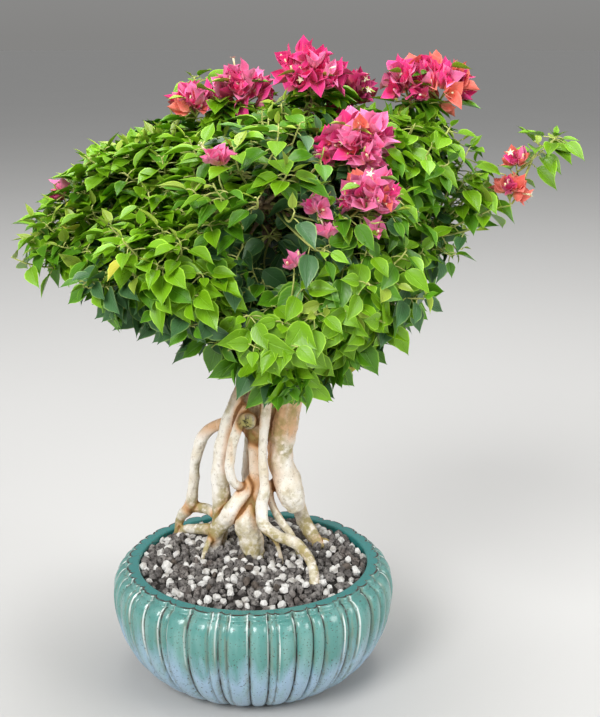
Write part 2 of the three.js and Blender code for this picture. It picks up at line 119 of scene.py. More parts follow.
# The exposed roots, as waypoints from the trunk down
ROOTS = [np.array(run) * MM for run in (
    # Left
    [[0, 24, 300, 9], [-12, 22, 274, 10.6], [-27, 19, 238, 9.2], [-34, 20, 200, 9], [-33, 26, 166, 9.6],
     [-37, 34, 130, 9], [-38, 36, 108, 8]],
    [[-44, 33, 131, 6.5], [-60, 45, 126, 5.5], [-75, 57, 120, 4.6], [-80, 60, 112, 4]],
    # Right
    [[14, 28, 328, 11], [31, 29, 294, 16], [31, 27, 252, 15.5], [27, 22, 219, 12.4], [33, 18, 192, 14],
     [39, 15, 172, 13], [43, 14, 159, 8]],
    # Front
    [[13, 15, 302, 6], [14, 7, 276, 6], [11, 3, 240, 4.8], [10, 2, 214, 4.6], [12, 0, 189, 5.6],
     [9, -1, 168, 6.2], [11, -6, 152, 6.4], [24, -16, 145, 6.2], [42, -26, 141, 6], [54, -40, 134, 5.4],
     [60, -55, 124, 4.8], [60, -70, 106, 4.4]],
    [[17, -9, 143, 3], [24, -12, 134, 2.6], [30, -14, 110, 2]],
    # Outer left
    [[-2, 27, 247, 8], [-34, 33, 244, 6.2], [-50, 39, 232, 5.8], [-59, 44, 208, 5.6], [-63, 50, 178, 5.5],
     [-68, 56, 147, 6.6], [-79, 63, 131, 5], [-84, 66, 108, 4.2]],
    [[-67, 56, 146, 5], [-50, 50, 146, 5.4], [-36, 36, 142, 5]],
    # Crossing
    [[10, 26, 200, 7], [-6, 15, 182, 7.6], [-16, 10, 169, 8], [-27, 12, 152, 8.6], [-38, 18, 134, 8],
     [-43, 22, 106, 6]],
    [[-43, 18, 132, 3.2], [-48, 5, 122, 2.8], [-54, -10, 106, 2]],
    # Middle, loop, knuckle and inner
    [[0, 21, 262, 6.5], [1, 18, 212, 5.6], [3, 15, 186, 6], [3, 12, 160, 7]],
    [[-3, 17, 276, 5], [-12, 7, 256, 5.4], [-20, 3, 232, 4.8], [-23, 4, 206, 4.6], [-18, 8, 190, 4.6],
     [-9, 15, 184, 4.4]],
    [[0, 17, 172, 8], [-6, 9, 146, 12.4], [-2, 5, 128, 11.5], [2, 2, 108, 8.5]],
    [[14, 16, 190, 5], [18, 14, 168, 4.4], [27, 11, 150, 4.2], [38, 5, 136, 3.8], [52, 0, 106, 3]],
    # Right foot
    [[14, 36, 286, 8], [25, 43, 244, 9], [31, 43, 200, 8], [42, 38, 164, 7.6], [52, 33, 138, 7.4],
     [66, 29, 114, 7], [70, 28, 104, 6]],
    [[60, 31, 120, 4], [74, 34, 116, 3.4], [86, 38, 106, 2.4]],
    # Back
    [[5, 34, 288, 8], [4, 45, 252, 9.5], [-2, 56, 214, 8.6], [-6, 64, 172, 8.4], [-2, 72, 136, 8.4],
     [6, 80, 104, 7]],
)]

LIMBS = [TRUNK, SCAR, *ROOTS]
# Places of the trunk and of two roots among the limbs
TRUNK_LIMB, RIGHT_LIMB, OUTER_LIMB = 0, 4, 7
# The middle of the roots, in plan, round which they are tan
ROOT_HEART = np.array([8, 22]) * MM
# Heights where kinds of bark begin or end, each with the distance over which it does so
BARK = SimpleNamespace(
    lichen_top=172 * MM, lichen_fade=45 * MM, trunk_foot=246 * MM, trunk_fade=20 * MM,
    smooth_top=270 * MM, right_smooth_top=315 * MM, smooth_fade=40 * MM,
    tan_foot=226 * MM, tan_fade=16 * MM,
)
# How far apart in the pattern of the bark one limb lies from the next
LIMB_SHIFT = 0.5


def mass(centre, radii, rise, bough, blooms=False, open_shoot=False):
    """One mass of the crown: its ellipsoid of space, and where and how thick its bough leaves the trunk."""
    return SimpleNamespace(
        centre=np.array(centre) * MM, radii=np.array(radii) * MM, rise=rise * MM, bough=bough * MM,
        blooms=blooms, open=open_shoot,
    )


MASSES = {
    "left_tip": mass([-138, 0, 434], [86, 96, 66], 322, 9),
    "left_top": mass([-82, 24, 512], [100, 98, 70], 392, 7),
    "left_front": mass([-64, -82, 420], [90, 84, 78], 338, 7.5),
    "front_low": mass([26, -88, 364], [76, 72, 84], 316, 6.5),
    "front_right": mass([92, -64, 406], [82, 82, 86], 348, 7.5),
    "right": mass([146, 20, 430], [72, 88, 80], 364, 8),
    "right_top": mass([140, 12, 522], [70, 84, 72], 424, 6.5),
    "top_front": mass([12, -70, 482], [98, 88, 94], 400, 6.5),
    "top": mass([28, 42, 544], [112, 96, 62], 492, 6),
    "back_left": mass([-76, 112, 440], [98, 86, 86], 356, 7.5),
    "back": mass([28, 140, 410], [90, 76, 94], 330, 7),
    "back_top": mass([12, 108, 496], [88, 76, 68], 436, 5.5),
    "back_right": mass([118, 108, 448], [86, 86, 88], 378, 7),
    "arm": mass([244, 0, 488], [66, 52, 54], 410, 6.5, open_shoot=True),
    "bloom_top_left": mass([-26, -8, 570], [60, 46, 42], 462, 4.2, blooms=True),
    "bloom_top": mass([64, 8, 582], [56, 48, 44], 478, 4.2, blooms=True),
    "bloom_top_right": mass([164, 2, 574], [54, 48, 44], 452, 4.2, blooms=True),
    "bloom_front": mass([98, -66, 532], [50, 44, 44], 442, 4.2, blooms=True),
    "bloom_front_low": mass([106, -98, 486], [44, 40, 44], 432, 4.2, blooms=True),
    "bloom_back": mass([40, 112, 558], [54, 46, 42], 470, 4.2, blooms=True),
    "bloom_back_left": mass([-94, 88, 536], [46, 44, 40], 448, 4.2, blooms=True),
}

# How the crown grows. Shares are of the way from a mass's centre to the edge of its space.
GROWTH = SimpleNamespace(
    entry=0.52, bough_taper=0.6, bough_arch=0.1, stem_turn=0.2,
    edge=1.05, kept=0.03, step=0.04, twig_end=0.9, branch_end=0.5, branches=10, seed=1000,
)
CROWN_CENTRE = np.array([15, 20, 430]) * MM
CROWN_RADII = np.array([205, 175, 160]) * MM

# The top and the bottom of the leaves across the crown, as [x, z], the bottom where it hangs lowest
CAP = np.array([
    [-246, 405], [-232, 425], [-214, 448], [-190, 480], [-157, 504], [-143, 524], [-112, 536], [-85, 542],
    [-53, 554], [-20, 564], [29, 572], [60, 574], [92, 566], [124, 560], [160, 556], [180, 552], [194, 540],
    [200, 505], [199, 460], [195, 430],
]) * MM
SKIRT = np.array([
    [-232, 424], [-191, 394], [-157, 394], [-138, 381], [-95, 358], [-49, 343], [-30, 327], [-6, 312],
    [25, 294], [50, 286], [70, 299], [91, 320], [118, 338], [136, 350], [154, 365], [171, 374], [182, 393],
    [196, 420],
]) * MM
# The skirt is lowest at this depth, and rises before and behind it by these shares of the distance
SKIRT_DEPTH = -60 * MM
SKIRT_FRONT, SKIRT_BACK = 0.16, 0.32
# The top falls away to the front and the back in the same way
CAP_FRONT, CAP_BACK = 0.1, 0.2
# How far the crown's twigs and leaves reach to the left
LEFT_TWIG, LEFT_LEAF = -194 * MM, -221 * MM
# Heights between which leaves turn from hanging to lying flat
HANGING, LYING = 405 * MM, 456 * MM
# They do so fully to the left of the first of these places, and by the least share right of the second
FLAT_LEFT, FLAT_RIGHT = -40 * MM, 90 * MM
FLAT_LEAST = 0.3
# The leaves of the arm lie half flat and turn to the light
ARM_LYING = 0.55
ARM_FACING = np.array([0, -0.8, 0.6])
# Gaps in the front of the crown, as centre and radii, where the trunk shows in the dark
HOLLOWS = [
    (np.array([26, -140, 446]) * MM, np.array([24, 64, 50]) * MM),
    (np.array([-30, -150, 352]) * MM, np.array([18, 60, 16]) * MM),
]

# Places where leaves are painted lighter or darker, as painted light and shade: centre, radius and how much
GLOWS = [
    (np.array(centre) * MM, radius * MM, gain) for centre, radius, gain in (
        ([-42, -112, 464], 58, 0.42),
        ([-120, -40, 490], 80, 0.16),
        ([-52, 26, 592], 26, 1.0),
        ([-196, -20, 440], 44, 0.5),
        ([5, -140, 385], 46, 0.5),
        ([24, -80, 488], 58, -0.9),
        ([26, -70, 440], 44, -0.9),
        ([16, -55, 530], 40, -0.35),
        ([84, -112, 372], 60, 0.48),
        ([-82, -95, 376], 58, -0.6),
        ([130, -50, 440], 70, -0.2),
    )
]

# The stem of the arm that reaches out of the crown, beyond its bough
ARM_STEM = np.array([
    [166, 0, 440], [196, -2, 464], [228, -3, 486], [257, 0, 508], [276, 2, 526], [284, 2, 533],
]) * MM

# Ends of the twigs between the crown and the arm
ARM_TWIGS = np.array([
    [202, -10, 524], [212, 0, 508], [198, -18, 496], [220, -6, 494], [204, 14, 486],
]) * MM
# Ends of the longer twigs below the arm, which carry a few large leaves
LONG_TWIGS = np.array([[226, -16, 470], [206, -24, 452], [186, -32, 428]]) * MM

# Shoots that end on the crown's top line: the mass each grows from, the span across and their number
EDGES = [
    ("left_tip", -214, -150, 12), ("left_top", -168, -66, 18), ("top", -40, 120, 12),
    ("right_top", 120, 196, 10),
]

# Shoots that hang to the crown's bottom line, in the same way
FRINGES = [
    ("left_tip", -186, -140, 6), ("left_front", -140, -34, 13), ("front_low", -30, 84, 14),
    ("front_right", 80, 150, 9), ("right", 146, 192, 7),
]

# Single shoots that stand out of the crown: the mass each grows from and where it ends
LEADERS = [
    ("bloom_top_left", np.array([-52, 26, 586]) * MM), ("left_tip", np.array([-188, -24, 452]) * MM),
]

# Clusters of flowers: the mass each grows from, its centre, its radius and its number of flowers
BLOOMS = [
    (name, np.array(centre) * MM, radius * MM, flowers) for name, centre, radius, flowers in (
        ("bloom_top_left", [-47, -12, 570], 26, 24),
        ("bloom_top_left", [-5, -4, 582], 30, 34),
        ("bloom_top", [57, -6, 597], 35, 44),
        ("bloom_top", [95, 36, 576], 27, 26),
        ("bloom_top_right", [147, 2, 588], 31, 32),
        ("bloom_top_right", [174, -4, 588], 32, 36),
        ("bloom_front", [95, -62, 541], 36, 46),
        ("bloom_front", [70, -72, 527], 15, 8),
        ("bloom_front_low", [105, -98, 499], 32, 36),
        ("bloom_front_low", [104, -84, 523], 13, 4),
        ("bloom_front_low", [62, -106, 485], 14, 6),
        ("bloom_front_low", [72, -112, 463], 13, 4),
        ("bloom_front_low", [109, -106, 464], 13, 4),
        ("bloom_back", [26, 112, 540], 32, 36),
        ("bloom_back", [66, 122, 530], 27, 24),
        ("bloom_back_left", [-92, 94, 508], 30, 32),
        ("top_front", [-20, -130, 526], 13, 6),
        ("front_low", [42, -117, 437], 9, 2),
        ("left_top", [-172, 0, 484], 10, 2),
        ("arm", [241, -10, 490], 19, 12),
        ("arm", [247, -4, 514], 13, 6),
    )
]

# Clusters with a smaller radius are sprigs, with smaller bracts and no leaves of their own
SPRIG = 20 * MM
# The share of a cluster's radius that other leaves keep out of, round its centre or in front of it
CLEAR = 0.85

LEAF_TINTS = ("young", "light", "middle", "deep", "yellowed")
YOUNG, LIGHT, MIDDLE, DEEP, YELLOWED = range(5)
BRACT_TINTS = ("magenta", "rose", "coral", "shaded")
MAGENTA, ROSE, CORAL, SHADED = range(4)
# How likely bracts are to be shaded at the back, and coral past these places to the right
SHADED_CHANCE = 0.7
CORAL_CHANCES = ((215 * MM, 0.85), (165 * MM, 0.2), (-math.inf, 0.06))
# Depths and a place across where more of the others are rose, a paler tint dealt there as painted light,
# and how likely they are to be
ROSE_NEAREST, ROSE_NEAR, ROSE_LEFT = -80 * MM, -50 * MM, 20 * MM
NEAREST_CHANCE, NEAR_CHANCE, OTHER_CHANCE = 0.85, 0.62, 0.26
# The widest place along a leaf and a bract, and how drawn out their tips are
LEAF_WIDEST, LEAF_POINT = 0.36, 1.75
BRACT_WIDEST, BRACT_POINT = 0.42, 1.4
# Points along a twig, along the stem in a mass, and along the arm's stem beyond its bough
TWIG_POINTS, STEM_POINTS, ARM_POINTS = 7, 10, 26
# The point of the stem that a leader leaves from
LEADER_START = 4
# Where the lights are aimed, and the place, tilt, lens and sensor of the camera
LIT_PLACE = np.array([0.03, 0.0, 0.36])
CAMERA_PLACE = np.array([47, -1119.6, 622.1]) * MM
CAMERA_TILT, CAMERA_LENS, CAMERA_SENSOR = math.radians(75), 60.25, 36
# Leaves that keep within the crown, that may stand out of it, and that grow between flowers
HELD, FREE, AMONG_FLOWERS = range(3)


def linear(code):
    """An sRGB hex colour as linear red, green and blue."""
    parts = [int(code[i:i + 2], 16) / 255 for i in (1, 3, 5)]
    return tuple(p / 12.92 if p <= 0.04045 else ((p + 0.055) / 1.055) ** 2.4 for p in parts)


def colour(name, description, code):
    return bpy.props.FloatVectorProperty(
        name=name, description=description, subtype="COLOR", size=3, min=0, max=1, default=linear(code))


def length(name, description, size):
    return bpy.props.FloatProperty(
        name=name, description=description, unit="LENGTH", min=0, precision=4, default=size)


class PotSettings(bpy.types.PropertyGroup):
    groove: length("Groove", "Depth of the grooves between the lobes", 5 * MM)
    body: colour("Glaze", "Glaze on the upper wall", "#569089")
    run: colour("Run", "Glaze that has run over the lower wall", "#9bb9d0")
    rim: colour("Rim", "Glaze on the flat rim", "#338683")
    clay: colour("Clay", "Clay that shows where the glaze breaks thin", "#2f2a28")


class MixSettings(bpy.types.PropertyGroup):
    grain: length("Grain", "Middle size of a grain of grit", 9.6 * MM)
    spacing: length("Spacing", "Least distance between two grains", 7.1 * MM)
    perlite_share: bpy.props.FloatProperty(
        name="Perlite", description="Share of the grains that are perlite", subtype="FACTOR", min=0, max=1,
        default=0.4)
    perlite: colour("Perlite", "Expanded white grains", "#e6e4e0")
    lava: colour("Lava", "Grey lava grains", "#918c88")
    bark: colour("Bark", "Brown bits of bark", "#6f655d")
    bed: colour("Bed", "Fine dark grit between the grains", "#322d2a")


class WoodSettings(bpy.types.PropertyGroup):
    voxel: length("Voxel", "Size of the cells that fuse trunk and roots", 1.3 * MM)
    relief: length("Relief", "Height of the old bark's ridges", 1.5 * MM)
    root: colour("Root", "Pale root bark", "#fbf6ec")
    crease: colour("Crease", "Tan bark in creases and on shaded sides", "#d3944e")
    old_bark: colour("Old bark", "Rough bark of the trunk and boughs", "#96805f")
    lichen: colour("Lichen", "Yellow green growth on knots", "#a29355")
    twig: colour("Twig", "Green bark of twigs and leaf stalks", "#cfd47e")


class LeafSettings(bpy.types.PropertyGroup):
    size: length("Leaf length", "Length of a full leaf", 32.5 * MM)
    twigs: bpy.props.IntProperty(
        name="Twigs", description="Twigs in each mass of leaves", min=1, default=70)
    each: bpy.props.IntProperty(
        name="Leaves", description="Leaves on each twig", min=1, default=11)
    young: colour("Young", "Leaves at growing tips", "#94ad38")
    light: colour("Light", "Leaves in full light", "#72a50c")
    middle: colour("Middle", "Most leaves", "#50880e")
    deep: colour("Deep", "Shaded and hanging leaves", "#436d3e")
    yellowed: colour("Yellowed", "A few ageing leaves", "#bdb93c")


class BractSettings(bpy.types.PropertyGroup):
    size: length("Bract length", "Length of one bract", 20.5 * MM)
    magenta: colour("Magenta", "Most bracts", "#eb388a")
    rose: colour("Rose", "Paler bracts", "#f87db0")
    coral: colour("Coral", "Bracts that are still opening", "#ee7565")
    # Painted shade: a darker magenta for bracts at the back of the crown
    shaded: colour("Shaded", "Older bracts at the back", "#b8296c")
    cream: colour("Cream", "The small true flowers", "#f4ecd4")


class StageSettings(bpy.types.PropertyGroup):
    floor: colour("Floor", "Pale floor", "#bdbcba")
    key: bpy.props.FloatProperty(
        name="Key light", description="Power of the large front light", unit="POWER", min=0, default=172)


SETTINGS = {
    "bonsai_pot": PotSettings,
    "bonsai_mix": MixSettings,
    "bonsai_wood": WoodSettings,
    "bonsai_leaf": LeafSettings,
    "bonsai_bract": BractSettings,
    "bonsai_stage": StageSettings,
}


# Materials

def add(tree, kind, *first, **named):
    """Adds a node: first inputs in order, others by name with a capital, settings in small letters.

    An input is a value, or a socket or a node to link from.
    """
    node = tree.nodes.new(kind)
    for name, value in named.items():
        if name[0].islower():
            setattr(node, name, value)
    given = list(zip([socket for socket in node.inputs if socket.enabled], first))
    for name, value in named.items():
        if name[0].isupper():
            given.append((node.inputs[name.replace("_", " ")], value))
    for socket, value in given:
        if isinstance(value, bpy.types.Node):
            value = next(output for output in value.outputs if output.enabled)
        if isinstance(value, bpy.types.NodeSocket):
            tree.links.new(value, socket)
        else:
            socket.default_value = (*value, 1) if socket.type == "RGBA" else value
    return node


def new_material(name):
    """A new material, the function that adds nodes to it, and where on the object it is."""
    material = bpy.data.materials.new(name)
    material.use_nodes = True
    material.node_tree.nodes.clear()
    node = functools.partial(add, material.node_tree)
    return material, node, node("ShaderNodeTexCoord").outputs["Object"]


def scale_for(size):
    """The scale of a noise whose features are about this size, in metres."""
    return 0.5 / size


def faded(node, value, spread, under, over):
    """One tint over another, more and more as a value goes from one level to the next."""
    share = node("ShaderNodeMapRange", value, *spread)
    return node("ShaderNodeMix", share, under, over, data_type="RGBA")


def patched(node, where, size, detail, spread, under, over, roughness=0.5):
    """One tint over another in patches of about this size, spread between two levels of a noise."""
    noise = node("ShaderNodeTexNoise", where, Scale=scale_for(size), Detail=detail, Roughness=roughness)
    return faded(node, noise, spread, under, over)


def end_material(node, tint, height, depth, **shader):
    """Adds a relief of this depth, the surface with its own values, and the output."""
    relief = node("ShaderNodeBump", Height=height, Distance=depth)
    surface = node("ShaderNodeBsdfPrincipled", Base_Color=tint, Normal=relief, **shader)
    node("ShaderNodeOutputMaterial", surface)


def glazed_stoneware(settings):
    # Fired glaze: glassy, thin and pale on edges, with dark clay in grooves and milky where it has run
    material, node, here = new_material("Glazed stoneware")
    tall = node("ShaderNodeMapping", here, Scale=(1, 1, 0.14))
    height = node("ShaderNodeSeparateXYZ", here).outputs["Z"]
    carved, painted_glint, rim, lip = (
        node("ShaderNodeAttribute", attribute_name=name).outputs["Fac"]
        for name in ("groove", "painted_glint", "rim", "lip_edge"))

    # The blue glaze has run down the lower wall in tongues, and clouds drift through both glazes
    drips = node("ShaderNodeTexNoise", tall, Scale=scale_for(7 * MM), Detail=4.0)
    drift = node("ShaderNodeMath", drips, 75 * MM, height, operation="MULTIPLY_ADD")
    glaze = faded(node, drift, (112 * MM, 84 * MM), settings.body, settings.run)
    clouded = patched(node, tall, 6 * MM, 3.0, (0.45, 0.75, 0.0, 0.5), glaze, linear("#8fb8b2"))

    # Beside a groove the glaze thins to olive; on one edge of the lobe, high on the wall, a broken white
    # line is a painted highlight
    crackle = node("ShaderNodeTexNoise", tall, Scale=scale_for(2.2 * MM), Detail=5.0, Roughness=0.7)
    patches = node("ShaderNodeMapRange", crackle, 0.42, 0.6)
    beside = node("ShaderNodeMapRange", carved, 0.02, 0.3, 0.0, 0.6)
    thin = node("ShaderNodeMath", beside, patches, operation="MULTIPLY")
    thinned = node("ShaderNodeMix", thin, clouded, linear("#7d8672"), data_type="RGBA")
    glint = node("ShaderNodeMapRange", painted_glint, 0.3, 0.75)
    upper = node("ShaderNodeMapRange", height, 48 * MM, 80 * MM, 0.0, 0.9)
    glint_gaps_noise = node("ShaderNodeTexNoise", tall, Scale=scale_for(9 * MM), Detail=3.0)
    glint_gaps = node("ShaderNodeMapRange", glint_gaps_noise, 0.42, 0.56)
    high_glint = node("ShaderNodeMath", glint, upper, operation="MULTIPLY")
    broken_glint = node("ShaderNodeMath", high_glint, glint_gaps, operation="MULTIPLY")
    glinted = node("ShaderNodeMix", broken_glint, thinned, linear("#eef5f2"), data_type="RGBA")

    # The rim is one even pool of glaze with dark specks
    rimmed = node("ShaderNodeMix", rim, glinted, settings.rim, data_type="RGBA")
    speckled = patched(node, here, 0.9 * MM, 2.0, (0.63, 0.69, 0.0, 0.75), rimmed, linear("#4a4440"))

    # Clay shows in the grooves, and as a dark broken line round the edge of the rim
    deep = node("ShaderNodeMapRange", carved, 0.52, 0.8)
    low = node("ShaderNodeMapRange", height, 70 * MM, 20 * MM, 0.3, 0.9)
    gaps = node("ShaderNodeMapRange", crackle, 0.42, 0.54)
    filled = node("ShaderNodeMath", low, gaps, operation="MAXIMUM")
    groove = node("ShaderNodeMath", deep, filled, operation="MULTIPLY")
    grooved = node("ShaderNodeMix", groove, speckled, settings.clay, data_type="RGBA")
    edge = node("ShaderNodeMapRange", lip, 0.5, 0.9)
    chips = node("ShaderNodeTexNoise", here, Scale=scale_for(5 * MM), Detail=4.0)
    chipped = node("ShaderNodeMapRange", chips, 0.36, 0.5, 0.25, 1.0)
    dark_edge = node("ShaderNodeMath", edge, chipped, operation="MULTIPLY")
    edged = node("ShaderNodeMix", dark_edge, grooved, linear("#3d322c"), data_type="RGBA")

    rough = node("ShaderNodeMapRange", groove, To_Min=0.22, To_Max=0.5)
    waves = node("ShaderNodeTexNoise", here, Scale=scale_for(4 * MM), Detail=3.0)
    end_material(
        node, edged, waves, 0.3 * MM, Roughness=rough, IOR=1.5, Coat_Weight=0.25, Coat_Roughness=0.2)
    return material


def expanded_perlite(settings):
    # Popped volcanic glass: chalk white, matt and full of tiny pits
    material, node, here = new_material("Expanded perlite")
    dusty = patched(node, here, 4 * MM, 3.0, (0.45, 0.72), settings.perlite, linear("#a9a39b"))
    pits = node("ShaderNodeTexNoise", here, Scale=scale_for(0.8 * MM), Detail=4.0)
    end_material(node, dusty, pits, 0.6 * MM, Roughness=0.9, IOR=1.45)
    return material


def lava_grit(settings):
    # Crushed lava: dull grey with darker pores and a little rust
    material, node, here = new_material("Lava grit")
    grey = patched(node, here, 5 * MM, 2.0, (0.36, 0.62), linear("#4f4a48"), settings.lava)
    rusty = patched(node, here, 21 * MM, 1.0, (0.6, 0.75, 0.0, 0.6), grey, linear("#77675e"))
    pitted = node("ShaderNodeTexNoise", here, Scale=scale_for(1.1 * MM), Detail=3.0)
    porous = faded(node, pitted, (0.5, 0.33), rusty, linear("#33302e"))
    end_material(node, porous, pitted, 0.8 * MM, Roughness=0.95, IOR=1.45)
    return material


def composted_bark(settings):
    # Composted bark: dark brown and fibrous
    material, node, here = new_material("Composted bark")
    fibres = node("ShaderNodeMapping", here, Scale=(1, 1, 0.3))
    grain = node("ShaderNodeTexNoise", fibres, Scale=scale_for(1.5 * MM), Detail=4.0)
    tint = faded(node, grain, (0.35, 0.65), linear("#443c36"), settings.bark)
    end_material(node, tint, grain, 0.6 * MM, Roughness=0.9, IOR=1.45)
    return material


def damp_and_shaded_grit(settings):
    # Fine damp grit, nearly black: partly its own dark colour and partly painted shade, so the gaps between
    # grains read as depth
    material, node, here = new_material("Fine damp grit in painted shade")
    grain = node("ShaderNodeTexNoise", here, Scale=scale_for(1.6 * MM), Detail=4.0)
    tint = faded(node, grain, (0.35, 0.7), linear("#1d1a18"), settings.bed)
    end_material(node, tint, grain, 1.2 * MM, Roughness=0.95, IOR=1.4)
    return material


def bougainvillea_bark(settings):
    # Living bark: smooth and cream on roots, tan in creases, brown on the trunk and corky on the scar; the
    # tan and its dark brown are partly painted shade
    material, node, here = new_material("Bougainvillea bark")
    along = node("ShaderNodeMapping", here, Scale=(1, 1, 0.25))
    crease_tan_and_shade, grown_over, aged, healed = (
        node("ShaderNodeAttribute", attribute_name=name).outputs["Fac"]
        for name in ("crease", "lichen", "old", "scar"))

    # Cream bark with a tan flush, deeper where limbs lie close; this tan is partly painted shade, and the
    # darkest recesses get a painted dark brown shade
    pale = patched(node, here, 12 * MM, 7.0, (0.4, 0.72), settings.root, linear("#e2d5bb"), 0.62)
    flushed = patched(node, along, 16 * MM, 6.0, (0.55, 0.66, 0.0, 0.6), pale, linear("#d9a468"), 0.6)
    stains = node("ShaderNodeTexNoise", along, Scale=scale_for(6 * MM), Detail=6.0, Roughness=0.65)
    stain = node("ShaderNodeMapRange", stains, 0.2, 0.5)
    tan_and_shade_share = node("ShaderNodeMath", crease_tan_and_shade, stain, operation="MULTIPLY")
    tanned_and_shaded = node("ShaderNodeMix", tan_and_shade_share, flushed, settings.crease, data_type="RGBA")
    # Painted shade: dark brown where the tan share is highest, deep in creases and between close limbs
    shaded = faded(node, crease_tan_and_shade, (0.76, 1.0, 0.0, 0.9), tanned_and_shaded, linear("#744720"))
    wrinkles = node("ShaderNodeTexNoise", here, Scale=scale_for(2.4 * MM), Detail=6.0, Roughness=0.7)
    wrinkled = faded(node, wrinkles, (0.45, 0.36, 0.0, 0.4), shaded, linear("#8d7450"))

    # Lichen on knots, and dark pores
    tufts = node("ShaderNodeTexNoise", here, Scale=scale_for(3 * MM), Detail=4.0)
    tuft = node("ShaderNodeMapRange", tufts, 0.32, 0.54, 0.0, 0.85)
    lichen = node("ShaderNodeMath", grown_over, tuft, operation="MULTIPLY")
    lichened = node("ShaderNodeMix", lichen, wrinkled, settings.lichen, data_type="RGBA")
    pored = patched(node, here, 1.2 * MM, 3.0, (0.66, 0.73, 0.0, 0.4), lichened, linear("#574433"))

    # Old bark: dark fissures and paler flakes
    fissures = node("ShaderNodeTexNoise", along, Scale=scale_for(3 * MM), Detail=5.0, Roughness=0.65)
    ridged = faded(node, fissures, (0.38, 0.6), linear("#543c2a"), settings.old_bark)
    flaked = patched(node, here, 5 * MM, 4.0, (0.55, 0.68, 0.0, 0.7), ridged, linear("#bda786"), 0.7)
    wood = node("ShaderNodeMix", aged, pored, flaked, data_type="RGBA")

    # The scar: olive cork with dark cracks
    cork = patched(node, here, 2 * MM, 4.0, (0.52, 0.42), linear("#a29a5c"), linear("#3b3519"))
    scarred = node("ShaderNodeMix", healed, wood, cork, data_type="RGBA")

    rough = node("ShaderNodeMapRange", aged, To_Min=0.55, To_Max=0.9)
    creases = node("ShaderNodeBump", Height=fissures, Distance=0.8 * MM)
    relief = node("ShaderNodeBump", Height=wrinkles, Distance=1.0 * MM, Normal=creases)
    surface = node(
        "ShaderNodeBsdfPrincipled", Base_Color=scarred, Roughness=rough, Normal=relief, IOR=1.45,
        Specular_IOR_Level=0.35)
    node("ShaderNodeOutputMaterial", surface)
    return material


def bough_bark(settings):
    # Young brown bark: fine lengthwise cracks over a greyer ground
    material, node, here = new_material("Bough bark")
    along = node("ShaderNodeMapping", here, Scale=(1, 1, 0.4))
    fissures = node("ShaderNodeTexNoise", along, Scale=scale_for(2.5 * MM), Detail=5.0, Roughness=0.65)
    ridged = faded(node, fissures, (0.36, 0.62), linear("#66523c"), settings.old_bark)
    tint = patched(node, here, 6 * MM, 4.0, (0.52, 0.64, 0.0, 0.75), ridged, linear("#cdbb9c"), 0.7)
    end_material(node, tint, fissures, 0.5 * MM, Roughness=0.85, IOR=1.45)
    return material


def green_bark(settings):
    # Soft growing stems: pale yellow green, a little waxy
    material, node, here = new_material("Green stem")
    tint = patched(node, here, 7 * MM, 3.0, (0.35, 0.65), linear("#a4b055"), settings.twig)
    surface = node("ShaderNodeBsdfPrincipled", Base_Color=tint, Roughness=0.5, IOR=1.45)
    node("ShaderNodeOutputMaterial", surface)
    return material


def blade_lines(node, slope, pitch):
    """How far along a blade and off its rib it is, and a ripple that slants across like side veins."""
    blade = node("ShaderNodeSeparateXYZ", node("ShaderNodeUVMap", uv_map="blade"))
    along = blade.outputs["X"]
    side = node("ShaderNodeMath", blade.outputs["Y"], operation="ABSOLUTE")
    slant = node("ShaderNodeMath", side, slope, along, operation="MULTIPLY_ADD")
    steps = node("ShaderNodeMath", slant, pitch, operation="MULTIPLY")
    return along, side, node("ShaderNodeMath", steps, operation="SINE")


def leaf_blade(name, base):
    # A leathery leaf: soft sheen, pale midrib, side veins and rim, and a tone that drifts over the crown
    material, node, here = new_material(name)
    base = np.array(base)
    tones = node("ShaderNodeTexNoise", here, Scale=scale_for(24 * MM), Detail=2.0)
    tone = node("ShaderNodeMapRange", tones, 0.35, 0.65, 0.0, 0.65)
    _, side, ripple = blade_lines(node, -0.36, 44.0)
    outer = node("ShaderNodeMath", side, 0.35, tone, operation="MULTIPLY_ADD")
    tint = node("ShaderNodeMix", outer, base * 0.74, np.minimum(base * 1.2, 1), data_type="RGBA")
    rib = node("ShaderNodeMapRange", side, 0.07, 0.02, 0.0, 0.5)
    vein = node("ShaderNodeMapRange", ripple, 0.8, 1.0, 0.0, 0.12)
    lines = node("ShaderNodeMath", rib, vein, operation="MAXIMUM")
    veined = node("ShaderNodeMix", lines, tint, np.minimum(base * 1.6 + 0.03, 1), data_type="RGBA")
    rim = node("ShaderNodeMapRange", side, 0.85, 0.95, 0.0, 0.7)
    rim_tint = np.minimum(base * 1.4 + np.array([0.2, 0.23, 0.05]), 1)
    rimmed = node("ShaderNodeMix", rim, veined, rim_tint, data_type="RGBA")
    end_material(node, rimmed, lines, 0.7 * MM, Roughness=0.4, IOR=1.45, Specular_IOR_Level=0.55)
    return material


